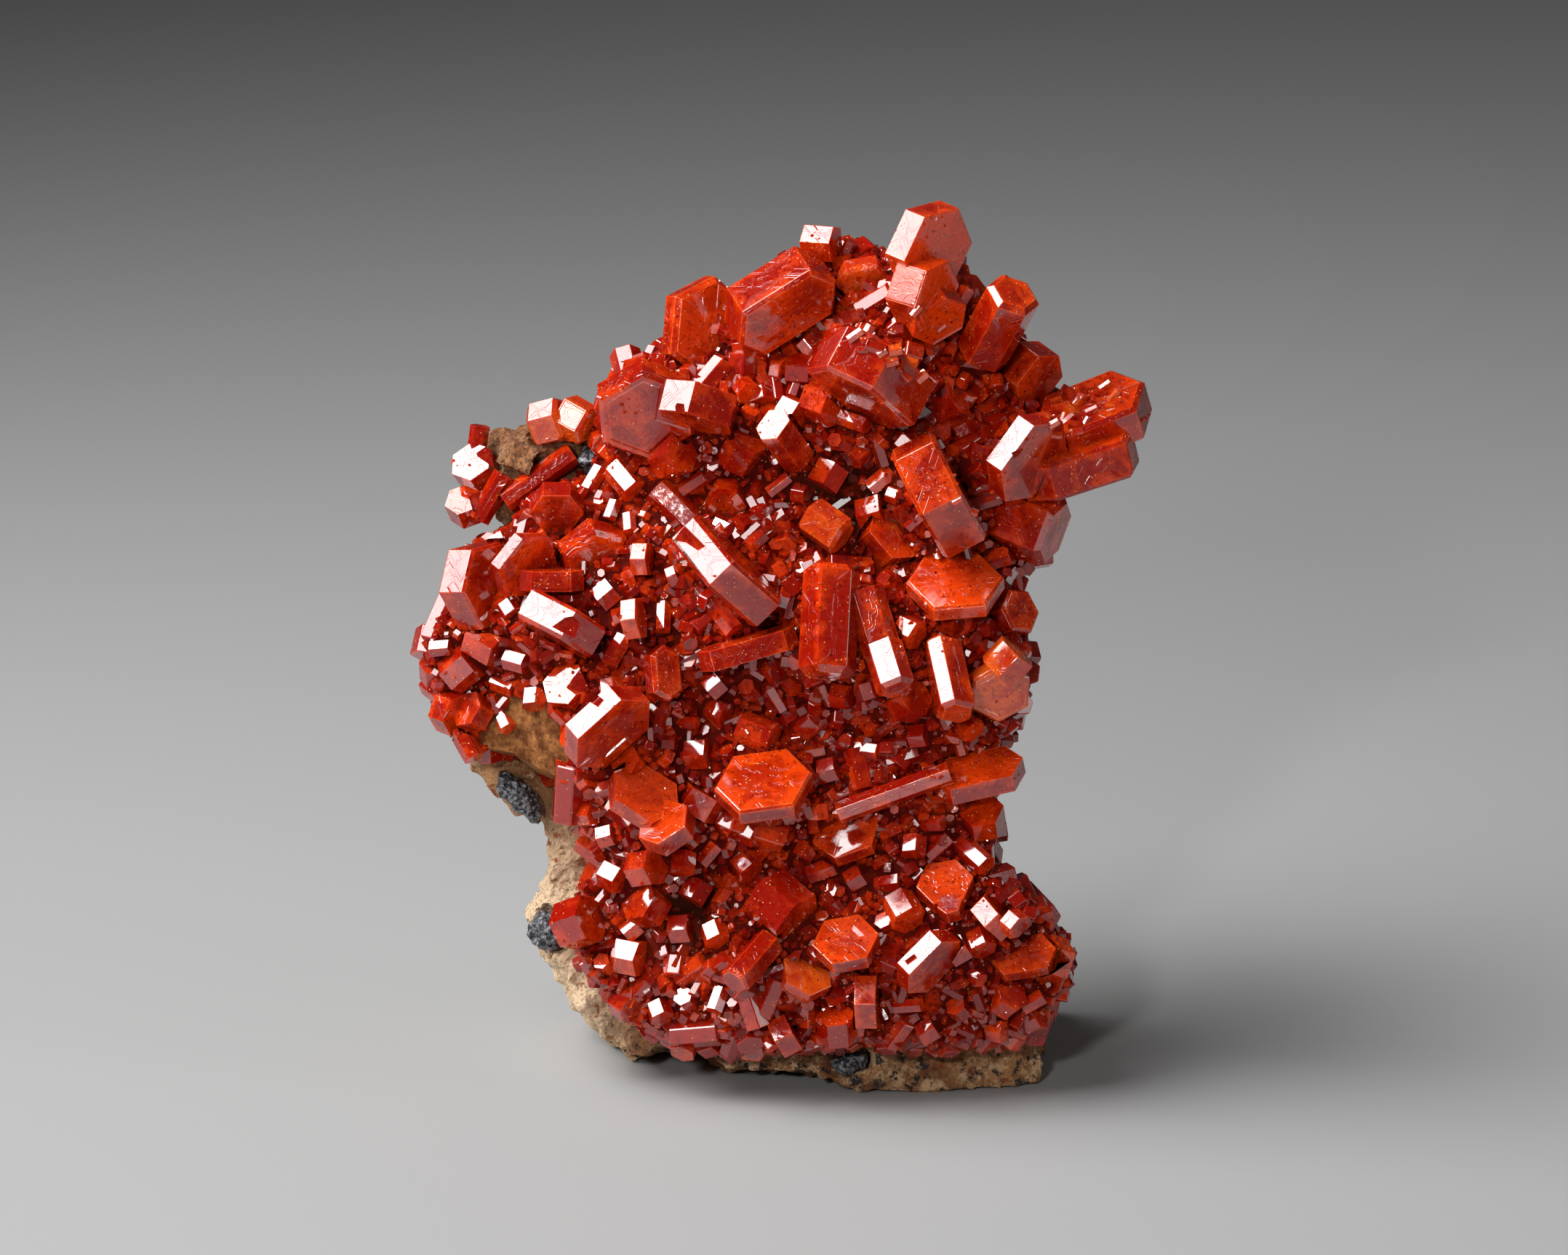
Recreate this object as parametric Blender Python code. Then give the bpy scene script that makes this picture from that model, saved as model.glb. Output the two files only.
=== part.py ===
"""Vanadinite on matrix: a leaning plate of rock with a crust of hexagonal red crystals on its front.

Places on the plate are given in millimetres as (across, up, out): across to the right of the
front view, up along the leaning plate, out of the plate toward the viewer.
"""
import math
import random

import bmesh
import bpy
from mathutils import Matrix, Vector, geometry, noise

# Sizes of the whole, millimetres and degrees.
MM = 0.001
PLATE_LEAN = 15.0
FOOT_CENTRE = (4.0, 13.0)
GAP = 0.3

# Rock plate: how far its front and back lie from the plate's zero level.
ROCK_FRONT = -1.2
ROCK_BACK = -13.5
ROCK_FOOT_DEPTH = 13.5
ROCK_FOOT_HEIGHT = 26.0
ROCK_STEP = 5.3

# Crust of small crystals that covers the front of the rock.
CRUST_STEP = 3.7
CRUST_ROOT = 1.6
CRUST_BELOW_CRYSTALS = 0.1
CRUST_REACH = 3.4

# Outline of the rock plate, (across, up), counter-clockwise from the left end of the foot.
ROCK_OUTLINE = [
    (-14.2, 4.6), (-11.6, 3.1), (-9.5, 3.5), (-6.7, 3.5), (-4.2, 2.0), (-1.7, 1.8), (2.0, 1.7), (5.5, 0.8),
    (8.0, -0.1), (13.0, -0.3), (18.5, -0.2), (19.6, 0.8), (19.6, 3.5), (19.4, 5.8), (20.2, 9.0), (19.6, 12.4),
    (17.5, 15.4), (14.6, 18.0), (14.2, 21.6), (14.8, 25.6), (15.8, 29.6), (16.4, 34.0), (16.0, 38.4),
    (17.8, 42.4), (18.6, 46.4), (20.2, 50.0), (17.6, 53.8), (15.6, 57.4), (12.0, 60.4), (7.8, 61.8),
    (3.0, 61.0), (-2.0, 58.6), (-6.4, 56.6), (-9.0, 53.0), (-13.2, 51.8), (-16.2, 51.6), (-19.2, 51.2),
    (-22.2, 50.4), (-23.0, 47.6), (-22.4, 44.4), (-19.6, 42.6), (-21.8, 40.2), (-23.6, 37.4), (-25.6, 34.4),
    (-25.8, 31.2), (-24.6, 27.6), (-23.7, 24.9), (-21.5, 23.1), (-18.5, 21.0), (-17.6, 19.4), (-18.0, 16.8),
    (-18.9, 14.4), (-19.1, 12.4), (-17.2, 10.2), (-16.4, 8.2),
]

# Outline of the crust, the same way round.
CRUST_OUTLINE = [
    (-14.2, 9.6), (-11.9, 6.8), (-9.6, 5.2), (-7.0, 4.7), (-3.0, 4.3), (2.0, 4.3), (6.0, 4.8), (10.0, 4.4),
    (14.0, 4.4), (17.4, 4.6), (19.2, 6.4), (21.0, 8.8), (21.2, 11.0), (20.0, 13.0), (18.0, 15.0),
    (15.6, 16.6), (14.8, 19.0), (15.1, 22.0), (15.8, 25.0), (16.6, 28.6), (17.8, 31.0), (17.9, 34.4),
    (16.8, 38.0), (18.0, 41.4), (19.6, 44.0), (19.0, 46.4), (21.0, 49.0), (21.4, 51.8), (18.6, 55.0),
    (16.6, 58.6), (13.6, 60.8), (12.6, 63.4), (8.6, 63.6), (4.8, 64.2), (1.0, 64.0), (-3.0, 60.4),
    (-7.0, 60.4), (-8.6, 57.0), (-11.4, 55.0), (-13.4, 53.0), (-14.2, 50.0), (-14.8, 47.0), (-18.6, 45.6),
    (-20.6, 43.0), (-23.6, 41.0), (-25.0, 37.6), (-26.8, 34.8), (-26.4, 32.0), (-26.2, 29.4), (-23.6, 26.8),
    (-20.4, 26.2), (-17.0, 24.4), (-15.0, 22.0), (-14.4, 19.4), (-13.4, 17.6), (-14.9, 15.4), (-16.3, 12.8),
]

# Large crystals, one list for each piece: the crystals in a list have grown into one another.
# Every crystal: centre (across, up, out), heading of its long axis in the front view, lift of that
# axis toward the viewer, spin about it, the three widths across flats, length, bevel of its ends.
PIECES = {
    "crown_cluster": [
        ((10.9, 64.3, 8.2), -25, 40, 0, (6.3, 6.3, 6.3), 2.0, 0.0),
        ((10.4, 61.0, 9.2), -18, 35, 0, (4.6, 4.8, 4.8), 2.8, 0.0),
        ((11.4, 59.2, 9.2), -60, 45, 0, (3.6, 4.0, 4.0), 1.6, 0.0),
    ],
    "great_slab": [((-0.3, 60.4, 6.6), -58, 49, 0, (4.8, 7.4, 7.8), 4.0, 0.3)],
    "top_bud": [((2.8, 64.8, 3.8), -5, 20, 30, (2.7, 2.7, 2.7), 2.4, 0.0)],
    "back_left_plate": [((-6.0, 58.4, 3.0), -5, 60, 0, (6.4, 7.0, 7.0), 2.2, 0.4)],
    "right_horn": [((16.1, 58.6, 8.2), 62, 42, 15, (3.7, 3.7, 3.7), 7.0, 0.4)],
    "shoulder_plate": [((18.6, 55.0, 3.4), -38, 42, 0, (3.6, 4.2, 4.2), 2.6, 0.0)],
    "amber_shard": [((6.0, 62.2, 4.6), -80, 50, 0, (3.0, 3.6, 3.6), 1.6, 0.2)],
    "brow_slab": [((6.5, 54.5, 11.0), -118, 12, 12, (8.9, 8.6, 7.0), 4.0, 0.3)],
    "square_facet": [((0.1, 49.8, 7.6), 128, 52, 20, (2.2, 2.6, 2.6), 5.0, 0.0)],
    "pale_pair": [
        ((-10.4, 52.2, 7.0), -85, 56, 30, (7.0, 7.0, 7.0), 2.4, 0.3),
        ((-6.4, 52.3, 8.6), -104, 12, 36, (5.4, 5.4, 4.6), 2.4, 0.0),
    ],
    "right_wing": [
        ((18.2, 48.6, 10.0), -36, 35, 0, (5.6, 6.4, 6.4), 1.7, 0.0),
        ((22.3, 48.0, 6.8), 104, 15, 15, (5.4, 8.0, 8.3), 3.0, 0.3),
        ((23.4, 51.6, 5.0), 108, 38, 6, (5.8, 7.8, 7.8), 3.2, 0.3),
        ((18.0, 44.0, 4.8), -24, 22, 10, (4.4, 5.0, 5.0), 6.0, 0.4),
        ((15.0, 50.8, 5.8), 60, 58, 10, (5.2, 5.6, 5.6), 2.2, 0.2),
    ],
    "cheek_slab": [((11.6, 45.7, 10.4), 27, 4, 48, (6.5, 8.9, 7.4), 3.6, 0.3)],
    "shelf_plate": [((12.9, 38.9, 7.8), 95, 45, 0, (6.0, 6.6, 6.2), 1.5, 0.2)],
    "middle_posts": [
        ((3.4, 36.2, 10.4), -93, 12, -10, (3.8, 3.8, 3.8), 8.4, 0.5),
        ((7.9, 32.8, 11.4), -73, 31, 10, (2.4, 2.6, 2.6), 4.2, 0.3),
        ((6.7, 36.2, 9.9), -73, 5, 0, (2.4, 2.6, 2.6), 5.0, 0.0),
    ],
    "narrow_post": [((12.4, 31.9, 9.6), -78, 30, 17, (3.4, 2.7, 2.7), 6.2, 0.3)],
    "golden_pair": [
        ((16.2, 31.1, 7.0), -70, 60, 10, (4.4, 4.4, 4.4), 1.6, 0.2),
        ((16.8, 33.2, 9.0), 47, 10, -20, (3.0, 3.0, 3.0), 2.2, 0.0),
    ],
    "right_bud": [((17.3, 36.8, 5.0), 20, 50, 10, (3.2, 3.2, 3.2), 2.2, 0.2)],
    "low_right_pair": [
        ((14.7, 24.6, 6.6), 103, 36, 0, (3.9, 6.1, 6.1), 1.5, 0.0),
        ((8.3, 23.3, 7.6), 20, 5, 10, (1.5, 1.5, 1.5), 9.0, 0.0),
    ],
    "under_bar_plate": [((4.8, 20.2, 5.0), 110, 55, 0, (4.4, 4.6, 4.8), 1.2, 0.0)],
    "great_plate": [((-1.5, 23.8, 9.0), 98, 48, 0, (5.8, 6.4, 6.6), 1.6, 0.2)],
    "left_plates": [
        ((-10.6, 23.0, 7.8), 58, 50, 0, (4.4, 5.0, 5.0), 1.4, 0.0),
        ((-8.8, 20.7, 8.8), 124, 46, 0, (3.4, 3.8, 3.8), 1.6, 0.0),
    ],
    "purple_facet": [((-6.3, 22.6, 5.4), 60, 10, 0, (3.2, 3.4, 3.4), 1.9, 0.0)],
    "split_log": [((-4.3, 40.0, 10.4), 44, 8, 30, (6.4, 9.2, 6.6), 2.8, 0.3)],
    "cross_bar": [((-2.7, 34.2, 9.2), 106, 8, 0, (3.2, 6.6, 6.6), 1.6, 0.0)],
    "slanted_log": [((-13.3, 28.3, 9.2), -48, 35, 0, (5.2, 6.4, 6.4), 1.8, 0.0)],
    "red_lozenge": [((-9.1, 32.3, 8.1), 5, 62, 0, (2.5, 3.7, 3.7), 1.8, 0.3)],
    "left_boxes": [
        ((-16.8, 36.0, 7.6), -120, 6, 29, (5.4, 6.4, 6.4), 2.6, 0.3),
        ((-19.6, 40.5, 6.0), -38, 45, 0, (4.6, 4.8, 4.8), 1.1, 0.0),
        ((-17.5, 39.3, 7.0), 90, 5, 0, (3.2, 4.2, 4.2), 1.5, 0.0),
        ((-14.4, 41.2, 4.2), -60, 56, 10, (4.8, 5.0, 5.0), 2.4, 0.3),
    ],
    "pencil_low": [((-11.3, 36.4, 8.8), 8, 15, 30, (3.0, 3.0, 3.0), 1.2, 0.0)],
    "pencil_high": [((-10.7, 40.9, 7.2), 0, 15, 30, (2.4, 2.4, 2.4), 1.2, 0.0)],
    "left_drum": [((-23.1, 38.9, 3.0), 0, 38, 40, (6.0, 6.2, 6.2), 2.6, 0.2)],
    "left_cap": [((-17.2, 44.9, 4.0), -90, 48, 0, (3.6, 3.6, 3.6), 1.6, 0.0)],
    "arm_cluster": [
        ((-18.7, 47.2, -0.2), 35, 0, 0, (1.6, 1.6, 1.6), 6.4, 0.0),
        ((-24.3, 45.0, -1.8), 110, 50, 0, (2.6, 2.6, 2.6), 1.8, 0.0),
        ((-22.3, 45.7, -0.4), 60, 5, 0, (1.5, 1.5, 1.5), 4.0, 0.0),
        ((-23.6, 48.0, -1.8), 125, 52, 0, (3.0, 3.0, 3.0), 1.8, 0.0),
        ((-23.4, 50.0, -2.2), 82, 10, 0, (1.3, 1.3, 1.3), 2.4, 0.0),
    ],
    "arm_amber": [
        ((-17.9, 51.4, -0.6), 14, 22, 20, (2.8, 3.2, 3.1), 2.6, 0.3),
        ((-15.8, 51.6, 0.2), -30, 30, 0, (2.4, 2.8, 2.8), 2.6, 0.2),
    ],
    "elbow_pair": [
        ((-25.3, 29.3, 1.0), -20, 40, 0, (3.0, 3.0, 3.0), 1.6, 0.0),
        ((-23.6, 29.3, 2.0), 150, 40, 0, (2.6, 2.6, 2.6), 1.6, 0.0),
    ],
    "bright_hook": [((-16.4, 31.3, 6.0), 140, 54, 0, (3.2, 3.2, 3.2), 1.2, 0.0)],
    "foot_log": [((10.9, 10.6, 7.4), -45, 35, 0, (3.6, 4.8, 4.8), 1.5, 0.0)],
    "foot_plate": [((4.7, 11.9, 7.6), 100, 50, 0, (4.2, 4.4, 4.4), 1.3, 0.0)],
    "foot_bar": [((-2.4, 10.6, 7.6), -132, 35, 20, (2.2, 2.2, 2.2), 5.0, 0.2)],
    "amber_plate": [((1.6, 9.4, 6.0), 60, 50, 0, (3.6, 3.6, 3.6), 1.2, 0.0)],
    "right_foot_pair": [
        ((18.1, 10.8, 4.6), 100, 60, 0, (3.0, 4.4, 4.4), 1.2, 0.0),
        ((20.3, 10.6, 3.2), 160, 40, 0, (3.0, 3.2, 3.2), 1.6, 0.0),
    ],
    "pink_pair": [
        ((15.8, 13.9, 7.0), 45, 8, 30, (3.4, 3.4, 3.4), 1.5, 0.0),
        ((17.3, 13.5, 8.5), -40, 30, 0, (1.9, 1.9, 1.9), 1.2, 0.0),
    ],
    "foot_post": [((6.3, 7.6, 6.0), 0, 6, 35, (4.0, 4.0, 4.0), 1.6, 0.0)],
    "toe_post": [((0.1, 4.9, 4.4), 28, 6, 30, (3.0, 3.0, 3.0), 1.5, 0.0)],
    "amber_middle": [((3.2, 43.4, 7.3), -35, 18, 20, (2.6, 2.8, 2.8), 3.4, 0.3)],
    "hex_behind": [((7.9, 42.5, 5.6), 40, 54, 0, (3.4, 4.0, 4.0), 2.0, 0.0)],
    "seat_pair": [
        ((12.2, 16.2, 6.0), 100, 55, 0, (3.6, 3.8, 3.8), 1.4, 0.0),
        ((12.6, 14.6, 7.6), 108, 52, 0, (1.7, 1.7, 1.7), 1.4, 0.0),
    ],
}

# Dark ore grains in the rock: centre, half sizes, turn in the front view.
ORE_GRAINS = {
    "ore_elbow": ((-20.2, 22.8, -1.6), (2.6, 1.2, 1.8), -47),
    "ore_lobe": ((-18.0, 12.6, -1.8), (1.7, 1.6, 1.8), 0),
    "ore_arm": ((-14.6, 48.5, -0.4), (1.1, 1.4, 1.6), 0),
    "ore_foot": ((5.0, 2.6, -0.6), (1.5, 1.1, 1.5), 10),
}

# Small crystals grown into the crust: place (across, up), form, turn, width and length.
# "end" shows its flat end and "side" one side face toward the upper left of the front; the turn is
# the spin of the first and the heading of the second's long axis. "free" has heading, lift and spin.
SHEEN = (-0.384, 0.426, 0.819)
SMALL_CRYSTALS = [
    ((13.3, 60.4), "side", 60, 1.2, 2.0), ((-1.3, 57.8), "side", -10, 1.3, 1.5),
    ((6.5, 57.5), "side", 40, 1.4, 1.1), ((0.6, 52.0), "side", -25, 2.1, 1.6),
    ((5.3, 51.3), "side", -20, 1.2, 2.4), ((-12.0, 46.9), "side", -50, 1.9, 2.8),
    ((-8.2, 44.9), "free", (-45, 5, 0), 2.0, 4.0), ((6.7, 44.4), "side", 15, 2.5, 1.9),
    ((7.3, 46.9), "side", 40, 1.3, 2.2), ((3.3, 47.1), "side", 60, 2.5, 1.9),
    ((-0.4, 46.5), "side", 38, 0.9, 2.0), ((-4.3, 45.4), "free", (-90, 52, 0), 2.6, 1.8),
    ((16.2, 41.0), "side", 15, 1.5, 2.2), ((16.3, 43.4), "side", -15, 1.1, 2.2),
    ((-11.7, 43.6), "side", 95, 1.0, 1.5), ((-13.0, 44.6), "side", 70, 1.0, 1.5),
    ((-9.1, 36.5), "side", 88, 1.1, 2.3), ((-20.6, 51.2), "side", -50, 2.0, 1.5),
    ((-14.4, 47.0), "side", 60, 1.2, 2.0), ((-21.2, 31.4), "side", -20, 1.3, 2.0),
    ((-21.4, 29.0), "side", -65, 1.2, 2.6), ((-18.9, 30.3), "side", 85, 1.7, 1.3),
    ((-20.2, 33.2), "side", -15, 1.5, 1.8), ((-26.0, 34.2), "side", 5, 1.2, 1.6),
    ((-24.1, 26.9), "free", (-60, 15, 0), 1.5, 2.6), ((-24.5, 32.6), "free", (40, 20, 0), 2.6, 2.4),
    ((-22.6, 34.4), "free", (-30, 25, 30), 2.6, 2.6), ((-11.7, 25.4), "end", 20, 2.2, 1.6),
    ((-6.4, 26.2), "side", 5, 2.2, 1.7), ((14.3, 18.6), "side", -42, 1.5, 3.2),
    ((15.0, 21.4), "free", (100, 52, 0), 3.0, 2.0), ((14.8, 12.0), "side", -70, 2.0, 1.5),
    ((14.4, 9.5), "side", -40, 1.1, 1.6), ((13.2, 11.4), "side", 30, 2.0, 1.5),
    ((16.9, 7.6), "free", (45, 50, 20), 2.3, 1.8), ((-0.2, 14.6), "free", (-40, 25, 10), 4.2, 3.4),
    ((-15.6, 13.4), "free", (20, 35, 10), 3.4, 2.6), ((-11.6, 10.8), "side", -10, 2.6, 2.0),
    ((-13.6, 10.2), "end", 5, 1.2, 1.4), ((-11.6, 12.9), "side", 40, 1.7, 1.3),
    ((-12.9, 16.9), "side", -25, 2.1, 1.6), ((-13.4, 20.0), "side", 15, 1.6, 1.2),
    ((-10.4, 14.8), "free", (150, 40, 0), 3.0, 2.0), ((4.0, 5.6), "free", (95, 35, 0), 2.6, 2.2),
    ((-6.7, 15.8), "side", 60, 2.1, 1.6), ((-2.9, 17.6), "side", -50, 2.0, 1.5),
    ((-7.6, 18.0), "side", 85, 1.8, 1.4), ((-5.7, 18.6), "side", 50, 1.1, 1.8),
    ((-7.7, 13.0), "side", 5, 2.1, 1.6), ((-5.2, 12.6), "side", -70, 1.8, 1.4),
    ((2.9, 17.4), "side", 20, 1.4, 2.2), ((5.4, 16.8), "side", 30, 1.7, 1.3),
    ((7.9, 16.4), "side", 10, 1.3, 1.9), ((7.7, 13.4), "end", 40, 1.2, 1.4),
    ((4.4, 30.6), "side", -10, 1.8, 1.4), ((6.3, 28.6), "side", -55, 1.2, 1.9),
    ((-5.2, 31.3), "side", 40, 1.7, 1.3), ((-4.8, 29.3), "side", -25, 2.1, 1.6),
    ((-7.6, 28.6), "side", -3, 0.9, 2.4), ((0.3, 31.6), "side", -45, 1.1, 2.0),
    ((-2.6, 31.0), "end", 5, 1.2, 1.4), ((3.4, 25.0), "side", 15, 1.8, 1.4),
    ((1.6, 18.8), "side", 60, 1.6, 1.2), ((13.9, 28.3), "side", -50, 1.8, 1.4),
    ((9.8, 19.2), "side", 85, 1.8, 1.4), ((11.2, 21.0), "side", 0, 1.2, 1.8),
    ((10.2, 27.6), "side", 5, 1.7, 1.3), ((-7.4, 7.6), "end", 40, 1.4, 1.4),
    ((-5.0, 7.6), "side", 70, 1.2, 1.9), ((-9.4, 6.6), "side", -70, 1.7, 1.3),
    ((13.2, 6.9), "end", 0, 1.4, 1.4), ((9.4, 7.2), "side", 5, 1.0, 2.2),
    ((10.9, 5.2), "side", 30, 1.8, 1.4), ((18.9, 7.4), "side", 30, 1.2, 1.8),
    ((16.2, 5.2), "side", -10, 1.7, 1.3), ((-17.6, 52.0), "free", (80, 30, 0), 2.2, 2.2),
    ((-22.0, 42.0), "side", 30, 1.4, 2.0), ((-12.6, 34.0), "side", 60, 1.3, 2.4),
    ((-13.4, 38.2), "side", 40, 2.0, 1.5), ((9.4, 35.4), "side", -25, 2.1, 1.6),
    ((3.0, 52.6), "free", (-20, 40, 0), 2.8, 2.4), ((-3.2, 49.0), "free", (60, 35, 10), 2.6, 2.4),
    ((-8.4, 48.6), "free", (20, 45, 15), 2.8, 2.2),
    ((-2.0, 27.8), "free", (-20, 20, 0), 2.2, 2.8), ((9.4, 30.2), "free", (30, 50, 0), 2.6, 2.0),
    ((-10.4, 17.6), "free", (10, 40, 25), 2.6, 2.0), ((9.0, 14.4), "free", (-60, 40, 0), 2.4, 2.2),
]

CRYSTAL_COLOUR = (0.36, 0.022, 0.008, 1.0)
AMBER_COLOUR = (0.52, 0.11, 0.02, 1.0)
CRUST_COLOUR = (0.28, 0.02, 0.008, 1.0)
ROCK_COLOUR = (0.42, 0.26, 0.14, 1.0)
ORE_COLOUR = (0.05, 0.05, 0.06, 1.0)

LEAN = math.radians(PLATE_LEAN)
SIDEWAYS = Vector((1.0, 0.0, 0.0))
UPWARD = Vector((0.0, math.sin(LEAN), math.cos(LEAN)))
OUTWARD = Vector((0.0, -math.cos(LEAN), math.sin(LEAN)))
START = Vector((-FOOT_CENTRE[0], -FOOT_CENTRE[1], 0.0))


def to_world(place):
    """World place in metres of a plate place in millimetres."""
    across, up, out = place
    return (START + SIDEWAYS * across + UPWARD * up + OUTWARD * out) * MM


def make_object(name, bm):
    bmesh.ops.recalc_face_normals(bm, faces=bm.faces)
    if bm.calc_volume(signed=True) < 0.0:
        bmesh.ops.reverse_faces(bm, faces=bm.faces)
    mesh = bpy.data.meshes.new(name)
    bm.to_mesh(mesh)
    bm.free()
    made = bpy.data.objects.new(name, mesh)
    bpy.context.scene.collection.objects.link(made)
    return made


def combine(target, other, operation, keep_other=False):
    """Applies one exact Boolean to the target."""
    step = target.modifiers.new("step", "BOOLEAN")
    step.operation = operation
    step.solver = "EXACT"
    step.object = other
    shaped = bpy.data.meshes.new_from_object(target.evaluated_get(bpy.context.evaluated_depsgraph_get()))
    target.modifiers.clear()
    target.data = shaped
    if not keep_other:
        bpy.data.objects.remove(other)


def keep_largest(target):
    """Leaves only the biggest connected body of a mesh."""
    bm = bmesh.new()
    bm.from_mesh(target.data)
    bmesh.ops.remove_doubles(bm, verts=bm.verts, dist=0.000001)
    bmesh.ops.dissolve_degenerate(bm, edges=bm.edges, dist=0.000001)
    unseen = set(bm.faces)
    bodies = []
    while unseen:
        waiting = [unseen.pop()]
        body = []
        while waiting:
            face = waiting.pop()
            body.append(face)
            for edge in face.edges:
                for other in edge.link_faces:
                    if other in unseen:
                        unseen.remove(other)
                        waiting.append(other)
        bodies.append(body)
    bodies.sort(key=lambda body: sum(face.calc_area() for face in body))
    for body in bodies[:-1]:
        bmesh.ops.delete(bm, geom=body, context="FACES")
    bmesh.ops.triangulate(bm, faces=bm.faces)
    bm.to_mesh(target.data)
    bm.free()


def inside(outline, across, up):
    found = False
    for (a0, u0), (a1, u1) in zip(outline, outline[1:] + outline[:1]):
        if (u0 > up) != (u1 > up) and across < (a1 - a0) * (up - u0) / (u1 - u0) + a0:
            found = not found
    return found


def edge_distance(outline, across, up):
    """Distance in the plate from a place to the outline."""
    point = Vector((across, up))
    nearest = 99.0
    for start, end in zip(outline, outline[1:] + outline[:1]):
        a = Vector(start)
        b = Vector(end)
        share = max(0.0, min(1.0, (point - a).dot(b - a) / (b - a).length_squared))
        nearest = min(nearest, (a + (b - a) * share - point).length)
    return nearest


def ripple(across, up, size, seed):
    return noise.noise(Vector((across / size, up / size, seed)))


def rock_front(across, up):
    rim = min(1.0, edge_distance(ROCK_OUTLINE, across, up) / 3.5)
    pale_lobe = 2.6 * math.exp(-((across + 16.5) / 3.5) ** 2 - ((up - 11.0) / 9.0) ** 2)
    foot_band = 3.2 * math.exp(-((across - 10.0) / 10.0) ** 2 - ((up - 1.5) / 2.6) ** 2)
    arm = 2.4 * math.exp(-((across + 20.0) / 4.5) ** 2 - ((up - 48.0) / 4.5) ** 2)
    rough = 0.9 * ripple(across, up, 4.0, 3.1) + 0.5 * ripple(across, up, 1.9, 8.7)
    return ROCK_FRONT + pale_lobe + foot_band + arm + rough - 1.6 * (1.0 - rim) ** 2


def rock_back(across, up):
    rim = min(1.0, edge_distance(ROCK_OUTLINE, across, up) / 8.0)
    foot = max(0.0, min(1.0, 1.0 - up / ROCK_FOOT_HEIGHT))
    rough = 2.4 * ripple(across, up, 11.0, 5.5) + 1.1 * ripple(across, up, 4.5, 1.2)
    shoulder = 5.5 * (1.0 - rim) ** 2 * (1.0 - foot)
    return ROCK_BACK - ROCK_FOOT_DEPTH * foot ** 1.3 + rough + shoulder


def crystal_level(across, up):
    """Level of the crust: it rises toward the large crystals that stand on it."""
    total = 0.25
    level = 0.25 * 3.0
    for crystals in PIECES.values():
        for crystal in crystals:
            a, u, out = crystal[0]
            share = math.exp(-((across - a) ** 2 + (up - u) ** 2) / CRUST_REACH ** 2)
            total += share
            level += share * (out - CRUST_BELOW_CRYSTALS)
    return level / total


def crust_front(across, up):
    base = rock_front(across, up) + 1.2
    rim = min(1.0, edge_distance(CRUST_OUTLINE, across, up) / 2.4)
    share = 0.84 + 0.16 * math.sin(rim * math.pi / 2.0)
    rough = 0.7 * ripple(across, up, 2.6, 6.6)
    return base + max(0.4, crystal_level(across, up) - base) * share + rough


def crust_back(across, up):
    return rock_front(across, up) - CRUST_ROOT


def slab(name, outline, front, back, step, seed, swell):
    """A closed plate between two rough surfaces, with a broken rim."""
    chance = random.Random(seed)
    ring = []
    for start, end in zip(outline, outline[1:] + outline[:1]):
        a = Vector(start)
        b = Vector(end)
        ring.append(a)
        if (b - a).length > step * 0.95:
            ring.append((a + b) / 2.0 + Vector((chance.uniform(-0.25, 0.25), chance.uniform(-0.25, 0.25))))
    count = len(ring)
    corners = [(p.x, p.y) for p in ring]
    points = list(ring)
    low = min(p.y for p in ring)
    high = max(p.y for p in ring)
    row = 0
    up = low + step * 0.5
    while up < high:
        across = -30.0 + (row % 2) * step / 2.0
        while across < 30.0:
            place = (across + chance.uniform(-0.3, 0.3) * step, up + chance.uniform(-0.3, 0.3) * step)
            if inside(corners, *place) and edge_distance(corners, *place) > step * 0.45:
                points.append(Vector(place))
            across += step
        up += step * 0.87
        row += 1
    edges = [(i, (i + 1) % count) for i in range(count)]
    flat = geometry.delaunay_2d_cdt(points, edges, [], 1, 1e-5)
    bm = bmesh.new()
    front_row = [bm.verts.new(to_world((p.x, p.y, front(p.x, p.y)))) for p in flat[0]]
    back_row = [bm.verts.new(to_world((p.x, p.y, back(p.x, p.y)))) for p in flat[0]]
    for triangle in flat[2]:
        bm.faces.new([front_row[i] for i in triangle])
        bm.faces.new([back_row[i] for i in reversed(triangle)])
    bands = [0.3, 0.62] if front(0.0, 30.0) - back(0.0, 30.0) > 10.0 else [0.5]
    rows = [front_row[:count]]
    for band in bands:
        level = []
        for index in range(count):
            p = points[index]
            along = (points[(index + 1) % count] - points[index - 1]).normalized()
            push = swell * math.sin(band * math.pi) * (0.5 + chance.random())
            deep = front(p.x, p.y) + (back(p.x, p.y) - front(p.x, p.y)) * (band + chance.uniform(-0.05, 0.05))
            level.append(bm.verts.new(to_world((p.x + along.y * push, p.y - along.x * push, deep))))
        rows.append(level)
    rows.append(back_row[:count])
    for upper, lower in zip(rows, rows[1:]):
        for i in range(count):
            j = (i + 1) % count
            bm.faces.new((upper[i], upper[j], lower[j]))
            bm.faces.new((upper[i], lower[j], lower[i]))
    return make_object(name, bm)


def swollen(name, source, grow):
    """A copy of a body whose surface lies a little further out all round."""
    bm = bmesh.new()
    bm.from_mesh(source.data)
    moved = [vert.co + vert.normal * grow * MM * min(1.5, vert.calc_shell_factor()) for vert in bm.verts]
    for vert, place in zip(bm.verts, moved):
        vert.co = place
    return make_object(name, bm)


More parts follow.
